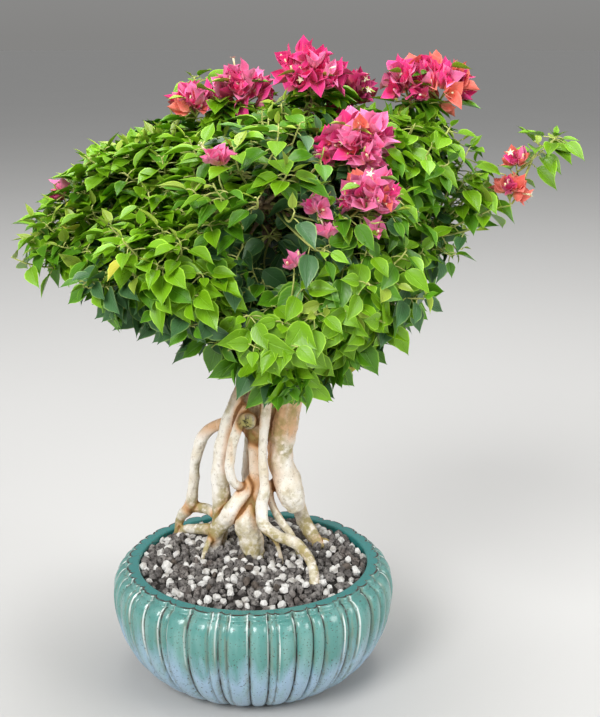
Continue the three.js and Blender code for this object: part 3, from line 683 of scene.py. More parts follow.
def papery_bract(name, base):
    # A papery bract: matt, with a peach rib and base, a pale rim, fine crinkles and a tone that drifts
    material, node, here = new_material(name)
    base = np.array(base)
    tint = patched(node, here, 12 * MM, 3.0, (0.35, 0.65), base * 0.78, np.minimum(base * 1.15 + 0.01, 1))
    along, side, ripple = blade_lines(node, -0.5, 50.0)
    veined = faded(node, ripple, (0.7, 1.0, 0.0, 0.22), tint, base * 0.62)
    middle = node("ShaderNodeMapRange", side, 0.09, 0.02, 0.0, 0.5)
    fading = node("ShaderNodeMapRange", along, 0.9, 0.2)
    rib = node("ShaderNodeMath", middle, fading, operation="MULTIPLY")
    ribbed = node("ShaderNodeMix", rib, veined, linear("#f2a083"), data_type="RGBA")
    throat = faded(node, along, (0.4, 0.02, 0.0, 0.6), ribbed, linear("#efb07e"))
    rimmed = faded(node, side, (0.72, 1.0, 0.0, 0.55), throat, np.minimum(base * 1.2 + 0.16, 1))
    crinkles = node("ShaderNodeTexNoise", here, Scale=scale_for(2.2 * MM), Detail=3.0)
    end_material(
        node, rimmed, crinkles, 0.5 * MM, Roughness=0.6, IOR=1.4, Specular_IOR_Level=0.25, Sheen_Weight=0.2)
    return material


def cream_petal(settings):
    # The true flower: a waxy cream star
    material, node, here = new_material("Cream petal")
    tint = patched(node, here, 3 * MM, 2.0, (0.4, 0.65), linear("#e3d9a4"), settings.cream)
    surface = node("ShaderNodeBsdfPrincipled", Base_Color=tint, Roughness=0.5, IOR=1.4)
    node("ShaderNodeOutputMaterial", surface)
    return material


def painted_board(settings):
    # Painted board: pale, matt and barely mottled
    material, node, here = new_material("Painted board")
    tone = node("ShaderNodeTexNoise", here, Scale=scale_for(0.3), Detail=2.0)
    shade = tuple(0.96 * part for part in settings.floor)
    tint = node("ShaderNodeMix", tone, settings.floor, shade, data_type="RGBA")
    surface = node("ShaderNodeBsdfPrincipled", Base_Color=tint, Roughness=0.8, IOR=1.45)
    node("ShaderNodeOutputMaterial", surface)
    return material


# Meshes

def unit(vectors):
    return vectors / np.maximum(np.linalg.norm(vectors, axis=-1, keepdims=True), 1e-12)


def square_to(direction, vectors):
    """Vectors turned to stand square to a direction."""
    return unit(vectors - np.sum(vectors * direction, axis=-1, keepdims=True) * direction)


def distance_along(path):
    """How far along a path each of its points lies."""
    return np.concatenate([[0], np.cumsum(np.linalg.norm(np.diff(path, axis=0), axis=1))])


def lattice_noise(points, seed):
    """Smooth noise from -1 to 1, with one random value at each corner of a unit lattice."""
    cell = np.floor(points).astype(np.int64)
    ease = points - cell
    ease = ease * ease * (3 - 2 * ease)
    total = np.zeros(len(points))
    for corner in itertools.product((0, 1), repeat=3):
        x, y, z = (cell + corner).T
        # Large odd numbers scatter the values, which are kept to 32 bits
        mixed = (x * 374761393 + y * 668265263 + z * 1440662683 + seed * 2654435761) & 0xFFFFFFFF
        mixed = ((mixed ^ (mixed >> 13)) * 1274126177) & 0xFFFFFFFF
        value = ((mixed ^ (mixed >> 16)) & 0xFFFF) / 32767.5 - 1
        total += value * np.prod(np.where(corner, ease, 1 - ease), axis=1)
    return total


def new_object(name, corners, faces, material, smooth=True):
    mesh = bpy.data.meshes.new(name)
    mesh.from_pydata(corners, [], faces)
    mesh.polygons.foreach_set("use_smooth", [smooth] * len(mesh.polygons))
    mesh.materials.append(material)
    mesh.update()
    made = bpy.data.objects.new(name, mesh)
    bpy.context.scene.collection.objects.link(made)
    return made


def set_attribute(mesh, name, values):
    mesh.attributes.new(name, "FLOAT", "POINT").data.foreach_set("value", np.asarray(values, np.float32))


def finish_piece(piece, nodes):
    """Fixes a piece to the body and hides these solids, in whose place it stands."""
    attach(piece, "root")
    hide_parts(*nodes)


def read_rows(data, name, width, kind=float):
    """One attribute of a mesh's corners or edges, with a row for each."""
    values = np.empty(len(data) * width, kind)
    data.foreach_get(name, values)
    return values.reshape(-1, width)


def nodes_named(*starts):
    return [node for node in NODES if node.startswith(starts)]


def join_parts(parts):
    """Corners and faces of several parts as one."""
    corners, faces, count = [], [], 0
    for part_corners, part_faces in parts:
        corners.append(part_corners)
        faces.extend([[count + corner for corner in face] for face in part_faces])
        count += len(part_corners)
    return np.concatenate(corners), faces


def smooth_path(waypoints, steps):
    """Points and radii along the smooth curve through waypoints, with this many steps to a span."""
    points = waypoints[:, :3]
    ends = np.vstack([2 * points[0] - points[1], points, 2 * points[-1] - points[-2]])
    share = np.linspace(0, 1, steps, endpoint=False)[:, None]
    spans = []
    for before, start, end, after in zip(ends, ends[1:], ends[2:], ends[3:]):
        lead, gap, trail = (
            math.sqrt(max(np.linalg.norm(b - a), 1e-9))
            for a, b in ((before, start), (start, end), (end, after)))
        leave = ((start - before) / lead - (end - before) / (lead + gap) + (end - start) / gap) * gap
        arrive = ((end - start) / gap - (after - start) / (gap + trail) + (after - end) / trail) * gap
        spans.append(
            (2 * share**3 - 3 * share**2 + 1) * start + (share**3 - 2 * share**2 + share) * leave
            + (3 * share**2 - 2 * share**3) * end + (share**3 - share**2) * arrive)
    path = np.vstack([*spans, points[-1:]])
    place_along = np.linspace(0, len(points) - 1, len(path))
    return path, np.interp(place_along, np.arange(len(points)), waypoints[:, 3])


def ring_corners(radius, height, angle):
    """Corners round the upright axis, with a row for each radius and height."""
    level = np.repeat(height[:, None], len(angle), axis=1)
    return np.stack([radius * np.cos(angle), radius * np.sin(angle), level], axis=-1)


def ring_faces(rows, columns):
    """Faces of four corners from each row to the next, with every row closed on itself."""
    row = np.arange(rows - 1)[:, None] * columns
    column = np.arange(columns)
    turn = (column + 1) % columns
    around = [row + column, row + turn, row + columns + turn, row + columns + column]
    return np.stack(around, axis=-1).reshape(-1, 4)


def tubes(paths, radii, sides):
    """Corners and faces of many round limbs with equal numbers of points, closed at both ends.

    paths has an axis for the limb, one for its points and one for x, y and z.
    """
    count, steps = paths.shape[:2]
    ahead = unit(np.gradient(paths, axis=1))
    aside = np.empty_like(ahead)
    first = np.where(np.abs(ahead[:, :1, 2:]) < 0.8, UP, np.array([1.0, 0, 0]))
    aside[:, 0] = unit(np.cross(ahead[:, 0], first[:, 0]))
    for step in range(1, steps):
        aside[:, step] = square_to(ahead[:, step], aside[:, step - 1])
    other = np.cross(ahead, aside)
    angle = np.arange(sides) * 2 * math.pi / sides
    ring = aside[:, :, None] * np.cos(angle)[:, None] + other[:, :, None] * np.sin(angle)[:, None]
    corners = (paths[:, :, None] + ring * radii[:, :, None, None]).reshape(-1, 3)
    column = np.arange(sides)
    ends = [column[::-1], (steps - 1) * sides + column]
    starts = np.arange(count) * steps * sides
    faces = (starts[:, None, None] + ring_faces(steps, sides)).reshape(-1, 4).tolist()
    faces += [(start + end).tolist() for start in starts for end in ends]
    return corners, faces


# The pot

def lobe_angles():
    """Where each groove of the pot lies, with the first again at the end."""
    state = POT.seed
    widths = []
    # The same small generator as for the solid pot, so that the lobes lie over its own
    for _ in range(POT.lobes):
        state = (state + 0x6D2B79F5) & 0xFFFFFFFF
        mixed = ((state ^ (state >> 15)) * (state | 1)) & 0xFFFFFFFF
        mixed ^= (mixed + (((mixed ^ (mixed >> 7)) * (mixed | 61)) & 0xFFFFFFFF)) & 0xFFFFFFFF
        chance = ((mixed ^ (mixed >> 14)) & 0xFFFFFFFF) / 2**32
        widths.append(1 + POT.lobe_spread * (2 * chance - 1))
    return np.concatenate([[0], np.cumsum(widths)]) * 2 * math.pi / sum(widths)


def wall_profile():
    """Points [radius, height] up the outside of the pot, from its foot to its lip."""
    turn = np.linspace(0, math.pi / 2, 30)
    foot = np.stack([
        POT.foot_radius + (POT.belly_radius - POT.foot_radius) * np.sin(turn) ** POT.wall_curve,
        POT.belly_height * (1 - np.cos(turn))], axis=1)
    turn = np.linspace(0, math.pi / 2, 14)[1:]
    shoulder = np.stack([
        POT.lip_radius + (POT.belly_radius - POT.lip_radius) * np.cos(turn),
        POT.belly_height + (POT.lip_height - POT.belly_height) * np.sin(turn)], axis=1)
    return np.vstack([foot, shoulder])


def pot_columns():
    """Angles round the pot, how deep grooves and lobes are carved there, and where a white highlight is
    painted.
    """
    angles, sharp, rounded, white = [], [], [], []
    grooves = lobe_angles()
    middle = 2 * math.pi / POT.lobes
    for index, (start, end) in enumerate(zip(grooves, grooves[1:])):
        across = LOBE_STEPS
        second = SECOND_PLACES[index % 2]
        wide = end - start > middle
        if wide:
            across = np.unique(np.concatenate([across, second + SECOND_STEPS]).round(4))
        depth = np.abs(2 * across - 1) ** 6
        painted_glint = np.abs(across - GLINT_PLACE)
        if wide:
            near = np.clip(1 - np.abs(across - second) / SECOND_HALF, 0, 1)
            depth = np.maximum(depth, SECOND_DEPTH * near**1.5)
            painted_glint = np.minimum(painted_glint, np.abs(across - second - GLINT_BESIDE))
        # The white line is a painted highlight on one side of each groove
        white.append(np.clip(1 - painted_glint / GLINT_HALF, 0, 1))
        angles.append(start + (end - start) * across)
        sharp.append(depth)
        rounded.append((2 * across - 1) ** 2)
    return (np.concatenate(values) for values in (angles, sharp, rounded, white))


def make_pot(settings):
    """The pot as one closed body: underside, carved wall, rounded lip, flat rim and hollow."""
    angle, groove, rounded, white = pot_columns()
    wall = wall_profile()
    lip_turn = np.linspace(0, math.pi / 2, 7)[1:]
    lip = np.stack([
        POT.lip_radius - POT.lip_bevel * (1 - np.cos(lip_turn)),
        POT.lip_height + (POT.height - POT.lip_height) * np.sin(lip_turn)], axis=1)
    flat = POT.lip_radius - POT.lip_bevel
    rim_radius = np.array([flat - 1.2 * MM, flat - 3 * MM, POT.mouth_radius + 3 * MM])
    rim = np.stack([rim_radius, np.full(3, POT.height)], axis=1)
    mouth_turn = np.linspace(0, math.pi / 2, 5)
    mouth = np.stack([
        POT.mouth_radius + 2 * MM * (1 - np.sin(mouth_turn)),
        POT.height - 2 * MM * (1 - np.cos(mouth_turn))], axis=1)
    inside = POT.hollow[::-1]
    section = np.vstack([[[0, 0]], wall, lip, rim, mouth, inside])
    counts = [1, len(wall), len(lip), len(rim), len(mouth), len(inside)]
    rim_start = sum(counts[:3])
    carve = np.repeat([0, 1, 1, 0, 0, 0], counts).astype(float)
    carve[rim_start:rim_start + 2] = (0.9, 0.5)
    rim_value = np.repeat([0, 0, 0, 1, 1, 1], counts).astype(float)
    edge_value = np.zeros(len(section))
    edge_value[rim_start - 3:rim_start + 1] = (0.5, 1, 1, 0.5)

    depth = settings.groove * carve[:, None] * (SHARP_SHARE * groove + ROUND_SHARE * rounded)
    corners = ring_corners(section[:, :1] - depth, section[:, 1], angle)
    columns, rows = len(angle), len(section) - 2
    body = corners[1:-1].reshape(-1, 3)
    faces = ring_faces(rows, columns).tolist()
    bottom, middle = len(body), len(body) + 1
    last = (rows - 1) * columns
    column = list(range(columns))
    pairs = list(zip(column, column[1:] + column[:1]))
    faces += [[bottom, b, a] for a, b in pairs]
    faces += [[middle, last + a, last + b] for a, b in pairs]
    body = np.vstack([body, [[0, 0, 0], [0, 0, POT.hollow[0, 1]]]])
    made = new_object("pot_body", body, faces, glazed_stoneware(settings))

    def spread(values):
        return np.append(np.repeat(values[1:-1], columns), [0, 0])

    set_attribute(made.data, "groove", np.append(np.outer(carve[1:-1], groove).ravel(), [0, 0]))
    # Where the painted white highlight lies, carried to the glaze
    set_attribute(made.data, "painted_glint", np.append(np.outer(carve[1:-1], white).ravel(), [0, 0]))
    set_attribute(made.data, "rim", spread(rim_value))
    set_attribute(made.data, "lip_edge", spread(edge_value))
    finish_piece(made, ["pot"])


# The growing mix

def make_bed(settings):
    """The bed of fine grit as one closed body that fills the pot, with an uneven top."""
    radius = np.concatenate([
        np.linspace(3 * MM, SOIL.level_radius, 34),
        np.linspace(SOIL.level_radius, SOIL.edge_radius, 8)[1:]])
    angle = np.linspace(0, 2 * math.pi, 144, endpoint=False)
    slope = np.interp(radius, [SOIL.level_radius, SOIL.edge_radius], [SOIL.top, SOIL.edge])
    top = ring_corners(radius[:, None], slope, angle)
    rough = lattice_noise(top.reshape(-1, 3) / SOIL.rough_size, 3).reshape(top.shape[:2])
    top[..., 2] += SOIL.rough * rough - SOIL.sunk
    side_radius = POT.hollow[1:, 0][::-1] - SOIL.gap
    side_height = np.maximum(POT.hollow[1:, 1][::-1], SOIL.floor)
    rings = np.concatenate([top, ring_corners(side_radius[:, None], side_height, angle)])
    columns, rows = len(angle), len(rings)
    # The rows run down from the middle of the top, so the faces are turned over
    faces = ring_faces(rows, columns)[:, [0, 3, 2, 1]].tolist()
    column = np.arange(columns)
    last = (rows - 1) * columns
    faces += [column.tolist(), (last + column[::-1]).tolist()]
    # The bed is nearly black, partly as painted shade in the gaps between grains
    made = new_object("grit_bed", rings.reshape(-1, 3), faces, damp_and_shaded_grit(settings))
    finish_piece(made, ["soil"])


def lump(name, rng, corners, flat):
    """One sharp grain, about 1 across: the hull of a few points near a ball."""
    points = even_directions(corners, rng.uniform(0, 2 * math.pi)) * rng.uniform(0.4, 0.56, (corners, 1))
    form = bmesh.new()
    for point in points * np.array([1.12, 0.95, flat]):
        form.verts.new(point)
    bmesh.ops.convex_hull(form, input=form.verts)
    bmesh.ops.delete(form, geom=[corner for corner in form.verts if not corner.link_faces], context="VERTS")
    bmesh.ops.recalc_face_normals(form, faces=form.faces)
    mesh = bpy.data.meshes.new(name)
    form.to_mesh(mesh)
    form.free()
    return bpy.data.objects.new(name, mesh)


def grit_tree():
    """Geometry Nodes that scatter grains over a surface and keep those in one range of chance."""
    tree = bpy.data.node_groups.new("Scatter grit", "GeometryNodeTree")
    for name, kind in (
        ("Surface", "Geometry"), ("Grains", "Collection"), ("Spacing", "Float"), ("Smallest", "Float"),
        ("Largest", "Float"), ("Jolt", "Float"), ("From", "Float"), ("To", "Float"), ("Seed", "Int"),
        ("Material", "Material"),
    ):
        tree.interface.new_socket(name, in_out="INPUT", socket_type=f"NodeSocket{kind}")
    tree.interface.new_socket("Grit", in_out="OUTPUT", socket_type="NodeSocketGeometry")
    node = functools.partial(add, tree)
    given = node("NodeGroupInput").outputs
    points = node(
        "GeometryNodeDistributePointsOnFaces", given["Surface"], Distance_Min=given["Spacing"],
        Density_Max=MOST_GRAINS, Seed=given["Seed"], distribute_method="POISSON")
    jolt = node("FunctionNodeRandomValue", Min=-1.0, Max=1.0, Seed=3, data_type="FLOAT")
    upright = node("ShaderNodeCombineXYZ", Z=jolt)
    lift = node("ShaderNodeVectorMath", upright, Scale=given["Jolt"], operation="SCALE")
    placed = node("GeometryNodeSetPosition", points, Offset=lift)
    chance = node("FunctionNodeRandomValue", Seed=given["Seed"], data_type="FLOAT")
    above = node("FunctionNodeCompare", chance, given["From"], operation="GREATER_EQUAL")
    below = node("FunctionNodeCompare", chance, given["To"], operation="LESS_THAN")
    chosen = node("FunctionNodeBooleanMath", above, below, operation="AND")
    grains = node(
        "GeometryNodeCollectionInfo", given["Grains"], Separate_Children=True, Reset_Children=True)
    turn = node("FunctionNodeRandomValue", Max=(6.283, 6.283, 6.283), Seed=5, data_type="FLOAT_VECTOR")
    size = node(
        "FunctionNodeRandomValue", Min=given["Smallest"], Max=given["Largest"], Seed=9, data_type="FLOAT")
    scattered = node(
        "GeometryNodeInstanceOnPoints", placed, Selection=chosen, Instance=grains, Pick_Instance=True,
        Rotation=turn, Scale=size)
    real = node("GeometryNodeRealizeInstances", scattered)
    dressed = node("GeometryNodeSetMaterial", real, Material=given["Material"])
    node("NodeGroupOutput", dressed)
    return tree


def scatter(name, ground, tree, inputs):
    """Runs a Geometry Nodes tree on the ground and returns its result as a plain mesh object."""
    maker = bpy.data.objects.new(name, ground)
    bpy.context.scene.collection.objects.link(maker)
    modifier = maker.modifiers.new("Scatter", "NODES")
    modifier.node_group = tree
    sockets = {item.name: item.identifier for item in tree.interface.items_tree if item.in_out == "INPUT"}
    for label, value in inputs.items():
        modifier[sockets[label]] = value
    maker.update_tag()
    graph = bpy.context.evaluated_depsgraph_get()
    mesh = bpy.data.meshes.new_from_object(maker.evaluated_get(graph))
    maker.modifiers.clear()
    maker.data = mesh
    return maker


def grain_collection(name, rng, corners):
    """Five grains of different flatness, for picking from."""
    made = bpy.data.collections.new(name)
    for index, flat in enumerate((0.8, 0.95, 0.7, 0.85, 0.75)):
        made.objects.link(lump(f"{name}_{index}", rng, corners, flat))
    return made


def grit_ground(sunk):
    """The surface that grains are scattered over, sunk below the top of the mix."""
    sides = 96
    angle = np.linspace(0, 2 * math.pi, sides, endpoint=False)
    radius = np.array([SOIL.level_radius, SOIL.edge_radius - 2 * MM])
    height = np.array([SOIL.top, SOIL.edge]) - sunk
    rings = ring_corners(radius[:, None], height, angle).reshape(-1, 3)
    ground = bpy.data.meshes.new("grit_ground")
    around = np.arange(sides).tolist()
    pairs = list(zip(around, around[1:] + around[:1]))
    faces = [[2 * sides, a, b] for a, b in pairs] + [[a, sides + a, sides + b, b] for a, b in pairs]
    ground.from_pydata(np.vstack([rings, [[0, 0, height[0]]]]), [], faces)
    return ground


def make_grit(settings):
    """Grains of perlite, lava and bark over the bed, dealt out by chance, with more lava under them."""
    rng = np.random.default_rng(GROWTH.seed)
    popped = grain_collection("popped", rng, 16)
    crushed = grain_collection("crushed", rng, 15)
    top, under = grit_ground(-0.8 * MM), grit_ground(3 * MM)
    tree = grit_tree()
    share = settings.perlite_share
    lava = lava_grit(settings)
    for name, ground, grains, seed, low, high, scale, material in (
        ("perlite_grains", top, popped, 4, 0.0, share, 0.93, expanded_perlite(settings)),
        ("lava_grains", top, crushed, 4, share, BARK_CHANCE, 1.03, lava),
        ("bark_crumbs", top, crushed, 4, BARK_CHANCE, 1.0, 1.0, composted_bark(settings)),
        ("buried_grains", under, crushed, 8, 0.0, 1.0, 1.0, lava),
    ):
        inputs = {
            "Grains": grains, "Spacing": settings.spacing, "Smallest": SMALLEST * scale * settings.grain,
            "Largest": LARGEST * scale * settings.grain, "Jolt": JOLT * settings.grain, "From": low,
            "To": high, "Seed": seed, "Material": material,
        }
        finish_piece(scatter(name, ground, tree, inputs), ["soil"])
    for grains in (popped, crushed):
        for made in list(grains.objects):
            bpy.data.objects.remove(made)
        bpy.data.collections.remove(grains)


# Trunk and roots

def neighbour_mean(values, edges):
    """The mean of each corner's neighbours."""
    total = np.zeros(values.shape)
    number = np.zeros(len(values))
    for a, b in (edges.T, edges.T[::-1]):
        np.add.at(total, a, values[b])
        np.add.at(number, a, 1)
    return total / np.maximum(number, 1)[:, None]


def fused_limbs(settings):
    """Trunk and roots as one skin without seams."""
    parts = []
    for waypoints in LIMBS:
        path, radii = smooth_path(waypoints, 8)
        parts.append(tubes(path[None], radii[None], 18))
    corners, faces = join_parts(parts)
    made = new_object("trunk_and_roots", corners, faces, None)
    remesh = made.modifiers.new("Fuse", "REMESH")
    remesh.mode = "VOXEL"
    remesh.voxel_size = settings.voxel
    graph = bpy.context.evaluated_depsgraph_get()
    skin = bpy.data.meshes.new_from_object(made.evaluated_get(graph))
    made.modifiers.clear()
    made.data = skin
    return made


def limb_grain():
    """Points along the middle of every limb, with how far along each lies, its radius and its limb."""
    rows = []
    for index, waypoints in enumerate(LIMBS):
        path, radii = smooth_path(waypoints, 12)
        along = distance_along(path) + index * LIMB_SHIFT
        rows.append(np.column_stack([path, along, radii, np.full(len(path), index)]))
    return np.vstack(rows)


def nearest_rows(points, rows):
    """For each point, the row whose skin is nearest, and how far off the skin of the next limb is."""
    best, gap = np.empty(len(points), int), np.empty(len(points))
    limb = rows[:, 5].astype(int)
    starts = np.searchsorted(limb, np.arange(limb[-1] + 1))
    # So many points at a time, to spare memory
    batch = 4000
    for start in range(0, len(points), batch):
        part = slice(start, start + batch)
        apart = np.linalg.norm(points[part][:, None] - rows[None, :, :3], axis=2) - rows[:, 4]
        best[part] = np.argmin(apart, axis=1)
        gap[part] = np.partition(np.minimum.reduceat(apart, starts, axis=1), 1, axis=1)[:, 1]
    return best, gap


def bark_age(corners, limb):
    """How far corners are down among the lichen, and how old their bark is, both from 0 to 1."""
    height = corners[:, 2]
    low = np.clip((BARK.lichen_top - height) / BARK.lichen_fade, 0, 1)
    trunk = (limb == TRUNK_LIMB) * np.clip((height - BARK.trunk_foot) / BARK.trunk_fade, 0, 1)
    smooth_top = np.where(limb == RIGHT_LIMB, BARK.right_smooth_top, BARK.smooth_top)
    ragged = 0.6 * lattice_noise(corners / (8 * MM), 4)
    flaking = np.clip((height - smooth_top) / BARK.smooth_fade + ragged, 0, 1)
    return low, np.maximum(trunk, flaking)


def bark_lift(corners, near, low, old, relief):
    """How far knots, ridges and scabs, and the fissures and crumbs of old bark, lift the skin."""
    grain = (corners - near[:, :3]) / (5 * MM) + (near[:, 3] / (26 * MM))[:, None]
    girth = np.clip(near[:, 4] / (9 * MM), 0.35, 1.4)
    lumps = lattice_noise(corners / (15 * MM), 1) * 1.3 + lattice_noise(corners / (7 * MM), 14) * 0.55
    knots = lumps * MM * girth
    ridges = (np.abs(lattice_noise(grain, 2)) - 0.3) * 1.1 * MM * girth
    scabs = np.maximum(lattice_noise(corners / (4 * MM), 15), 0) * 1.3 * MM * low * girth
    fissures = (np.abs(lattice_noise(grain * 1.3, 5)) - 0.35) * relief
    crumble = lattice_noise(corners / (3 * MM), 6) * 0.5 * relief
    return knots + ridges * (1 - old) + scabs + (fissures + crumble) * old


def bark_tan_and_shade(corners, normals, hollow, limb, gap):
    """How tan bark is, partly its own tan and partly painted shade: in creases, between close limbs, on
    sides turned from the lamps and in the heart of the roots.
    """
    crease = np.clip(hollow / (0.55 * MM), 0, 1)
    close = np.clip(1 - np.maximum(gap, 0) / (8 * MM), 0, 1) * np.clip(1 + gap / (5 * MM), 0.3, 1)
    # Painted shade on sides that face right, back and down, away from the lamps
    turned = 0.6 * normals[:, 0] + 0.45 * normals[:, 1] - 0.15 * normals[:, 2]
    patch = lattice_noise(corners / (20 * MM), 8) * 0.5
    shade = np.clip(0.75 * crease + 1.1 * close + 0.45 * np.clip(turned + patch - 0.1, 0, 0.75), 0, 1)
    from_heart = np.linalg.norm(corners[:, :2] - ROOT_HEART, axis=1)
    inner = np.clip(1.5 - from_heart / (16 * MM) + patch, 0, 1)
    high = np.clip((corners[:, 2] - BARK.tan_foot) / BARK.tan_fade, 0, 1)
    upper = np.isin(limb, (RIGHT_LIMB, OUTER_LIMB)) * high
    return np.maximum(shade, 0.72 * np.maximum(upper, inner))


def make_wood(settings):
    """The trunk and its exposed roots, with relief that follows each limb."""
    made = fused_limbs(settings)
    mesh = made.data
    corners = read_rows(mesh.vertices, "co", 3)
    edges = read_rows(mesh.edges, "vertices", 2, int)
    for _ in range(3):
        corners = 0.5 * corners + 0.5 * neighbour_mean(corners, edges)
    mesh.vertices.foreach_set("co", corners.ravel())
    mesh.update()
    normals = read_rows(mesh.vertex_normals, "vector", 3)
    wide = corners
    for _ in range(14):
        wide = neighbour_mean(wide, edges)
    hollow = np.sum((wide - corners) * normals, axis=1)

    rows = limb_grain()
    best, gap = nearest_rows(corners, rows)
    near = rows[best]
    limb = near[:, 5]
    low, old = bark_age(corners, limb)
    lift = bark_lift(corners, near, low, old, settings.relief)
    carved = corners + normals * lift[:, None]
    lichen = np.clip(lattice_noise(corners / (14 * MM), 9) * 1.2 - 0.15 + 1.4 * low, 0, 1)
    scar = np.clip(1.6 - np.linalg.norm(corners - SCAR[-1, :3], axis=1) / (7 * MM), 0, 1)
    mesh.vertices.foreach_set("co", carved.ravel())
    mesh.update()
    mesh.materials.clear()
    mesh.materials.append(bougainvillea_bark(settings))
    mesh.polygons.foreach_set("use_smooth", [True] * len(mesh.polygons))
    # The tan share, partly painted shade, carried to the bark
    set_attribute(mesh, "crease", bark_tan_and_shade(corners, normals, hollow, limb, gap))
    set_attribute(mesh, "old", old)
    set_attribute(mesh, "lichen", lichen)
    set_attribute(mesh, "scar", scar)
    finish_piece(made, ["trunk", *nodes_named("root_")])


# The crown

def share_out(one, points):
    """How far points are from a mass's centre, as a share of the way to the edge of its ellipsoid."""
    return np.linalg.norm((points - one.centre) / one.radii, axis=-1)


def nearest_other(one, points):
    return np.min([share_out(other, points) for other in MASSES.values() if other is not one], axis=0)


def skirt_at(points):
    depth = points[..., 1] - SKIRT_DEPTH
    rise = SKIRT_FRONT * np.maximum(-depth, 0) + SKIRT_BACK * np.maximum(depth, 0)
    return np.interp(points[..., 0], SKIRT[:, 0], SKIRT[:, 1]) + rise


def cap_at(points):
    depth = points[..., 1]
    fall = CAP_FRONT * np.maximum(-depth, 0) + CAP_BACK * np.maximum(depth, 0)
    return np.interp(points[..., 0], CAP[:, 0], CAP[:, 1]) - fall


def lying(points):
    """How flat leaves lie at points, from 0 where they hang to 1 high on the left."""
    high = np.clip((points[..., 2] - HANGING) / (LYING - HANGING), 0, 1)
    return high * np.interp(points[..., 0], [FLAT_LEFT, FLAT_RIGHT], [1, FLAT_LEAST])


def in_hollow(points):
    near = [np.linalg.norm((points - centre) / radii, axis=-1) for centre, radii in HOLLOWS]
    return np.min(near, axis=0) < 1


def in_space(one, points):
    """Whether a mass's twigs may grow to points: nearer to its own centre than to any other mass."""
    own = share_out(one, points)
    high, low = cap_at(points) - 8 * MM, skirt_at(points) + 34 * MM
    return (
        (own <= GROWTH.edge) & (nearest_other(one, points) > own + GROWTH.kept)
        & (points[..., 2] < high) & (points[..., 2] > low) & (points[..., 0] > LEFT_TWIG)
        & ~in_hollow(points))


def reach(one, direction, share):
    """The furthest point from a mass's centre in a direction, up to a share, in its own space."""
    shares = np.arange(share, GROWTH.step, -GROWTH.step)
    points = one.centre + direction * one.radii * shares[:, None]
    free = in_space(one, points)
    return points[np.argmax(free)] if free.any() else one.centre


def even_directions(count, turn):
    index = np.arange(count)
    height = 1 - (2 * index + 1) / count
    level = np.sqrt(1 - height**2)
    angle = turn + index * GOLDEN_ANGLE
    return np.stack([level * np.sin(angle), height, level * np.cos(angle)], axis=1)


def trunk_at(height):
    return np.array([np.interp(height, TRUNK[:, 2], TRUNK[:, axis]) for axis in range(3)])


def arched(start, end, lift, count):
    """Points from start to end on a curve whose middle is moved by lift."""
    share = np.linspace(0, 1, count)[:, None]
    return start + (end - start) * share + lift * 4 * share * (1 - share)


def bough_path(one):
    """A bough from the trunk to its mass, and on through it as the stem."""
    start = trunk_at(one.rise)
    share = np.array([0, 1 / 3, 2 / 3, 1])[:, None]
    if one.rise < TRUNK[-1, 2]:
        tip = one.centre + (start - one.centre) * (GROWTH.entry / share_out(one, start))
        arch = UP * GROWTH.bough_arch * np.linalg.norm(tip - start)
        points = start + (tip - start) * share + arch * np.sin(math.pi * share)
    else:
        tip = start
        points = start[None]
    stem = ARM_STEM if one.open else [tip + (one.centre - tip) * GROWTH.stem_turn, one.centre]
    points = np.vstack([points[:3] if one.open else points, stem])
    radii = one.bough * np.interp(np.linspace(0, 1, len(points)), [0, 0.6, 1], [1, GROWTH.bough_taper, 0.3])
    return smooth_path(np.column_stack([points, radii]), 5)


def facing_out(one, points):
    """Which way is out of the crown at each point."""
    own = unit((points - one.centre) / one.radii**2)
    whole = unit((points - CROWN_CENTRE) / CROWN_RADII**2)
    return unit(0.5 * own + 0.7 * whole)


def resample(path, count):
    """A path again, with this many points evenly along it."""
    along = distance_along(path)
    wanted = np.linspace(0, along[-1], count)
    return np.stack([np.interp(wanted, along, path[:, axis]) for axis in range(3)], axis=1)


def along_path(path, shares):
    steps = np.linspace(0, 1, len(path))
    return np.stack([np.interp(shares, steps, path[:, axis]) for axis in range(3)], axis=1)


def light_axis(out, rng):
    """Which way a shoot's tip turns: up on top of the crown, outward on its sides."""
    return unit(0.8 * out + (0.3 + 0.75 * max(out[2], -0.2)) * UP + rng.normal(scale=0.16, size=3))


def shoot_path(start, end, axis):
    """A twig that leaves start and arrives at end along an axis."""
    bend = end - axis * 0.4 * np.linalg.norm(end - start)
    share = np.linspace(0, 1, TWIG_POINTS)[:, None]
    return (1 - share) ** 2 * start + 2 * share * (1 - share) * bend + share**2 * end


def twig_paths(one, stem, settings, rng):
    """Branches from a mass's stem, and twigs that fork from them to the edge of the mass's space."""
    branch_ways = even_directions(GROWTH.branches, rng.uniform(0, 2 * math.pi))
    ways = even_directions(settings.twigs, rng.uniform(0, 2 * math.pi))
    vigour = np.where(rng.random(len(ways)) < 0.15, 1.16, rng.uniform(0.7, 1.03, len(ways)))
    ends = np.array([reach(one, way, GROWTH.twig_end * share) for way, share in zip(ways, vigour)])
    kept = share_out(one, ends) > 0.3
    ways, ends = ways[kept], ends[kept]
    home = np.argmax(ways @ branch_ways.T, axis=1)
    branches, twigs = [], []
    for index in np.unique(home):
        members = np.flatnonzero(home == index)
        root = stem[rng.integers(len(stem) // 2, len(stem))]
        tip = root + (ends[members].mean(axis=0) - root) * GROWTH.branch_end
        branch = arched(root, tip, UP * 0.08 * np.linalg.norm(tip - root), 6)
        branches.append(branch)
        for member in members:
            axis = light_axis(facing_out(one, ends[member][None])[0], rng)
            twigs.append((shoot_path(branch[rng.integers(2, 6)], ends[member], axis), axis))
    return branches, twigs


def around_axis(aside, other, angle):
    return np.cos(angle)[:, None] * aside + np.sin(angle)[:, None] * other


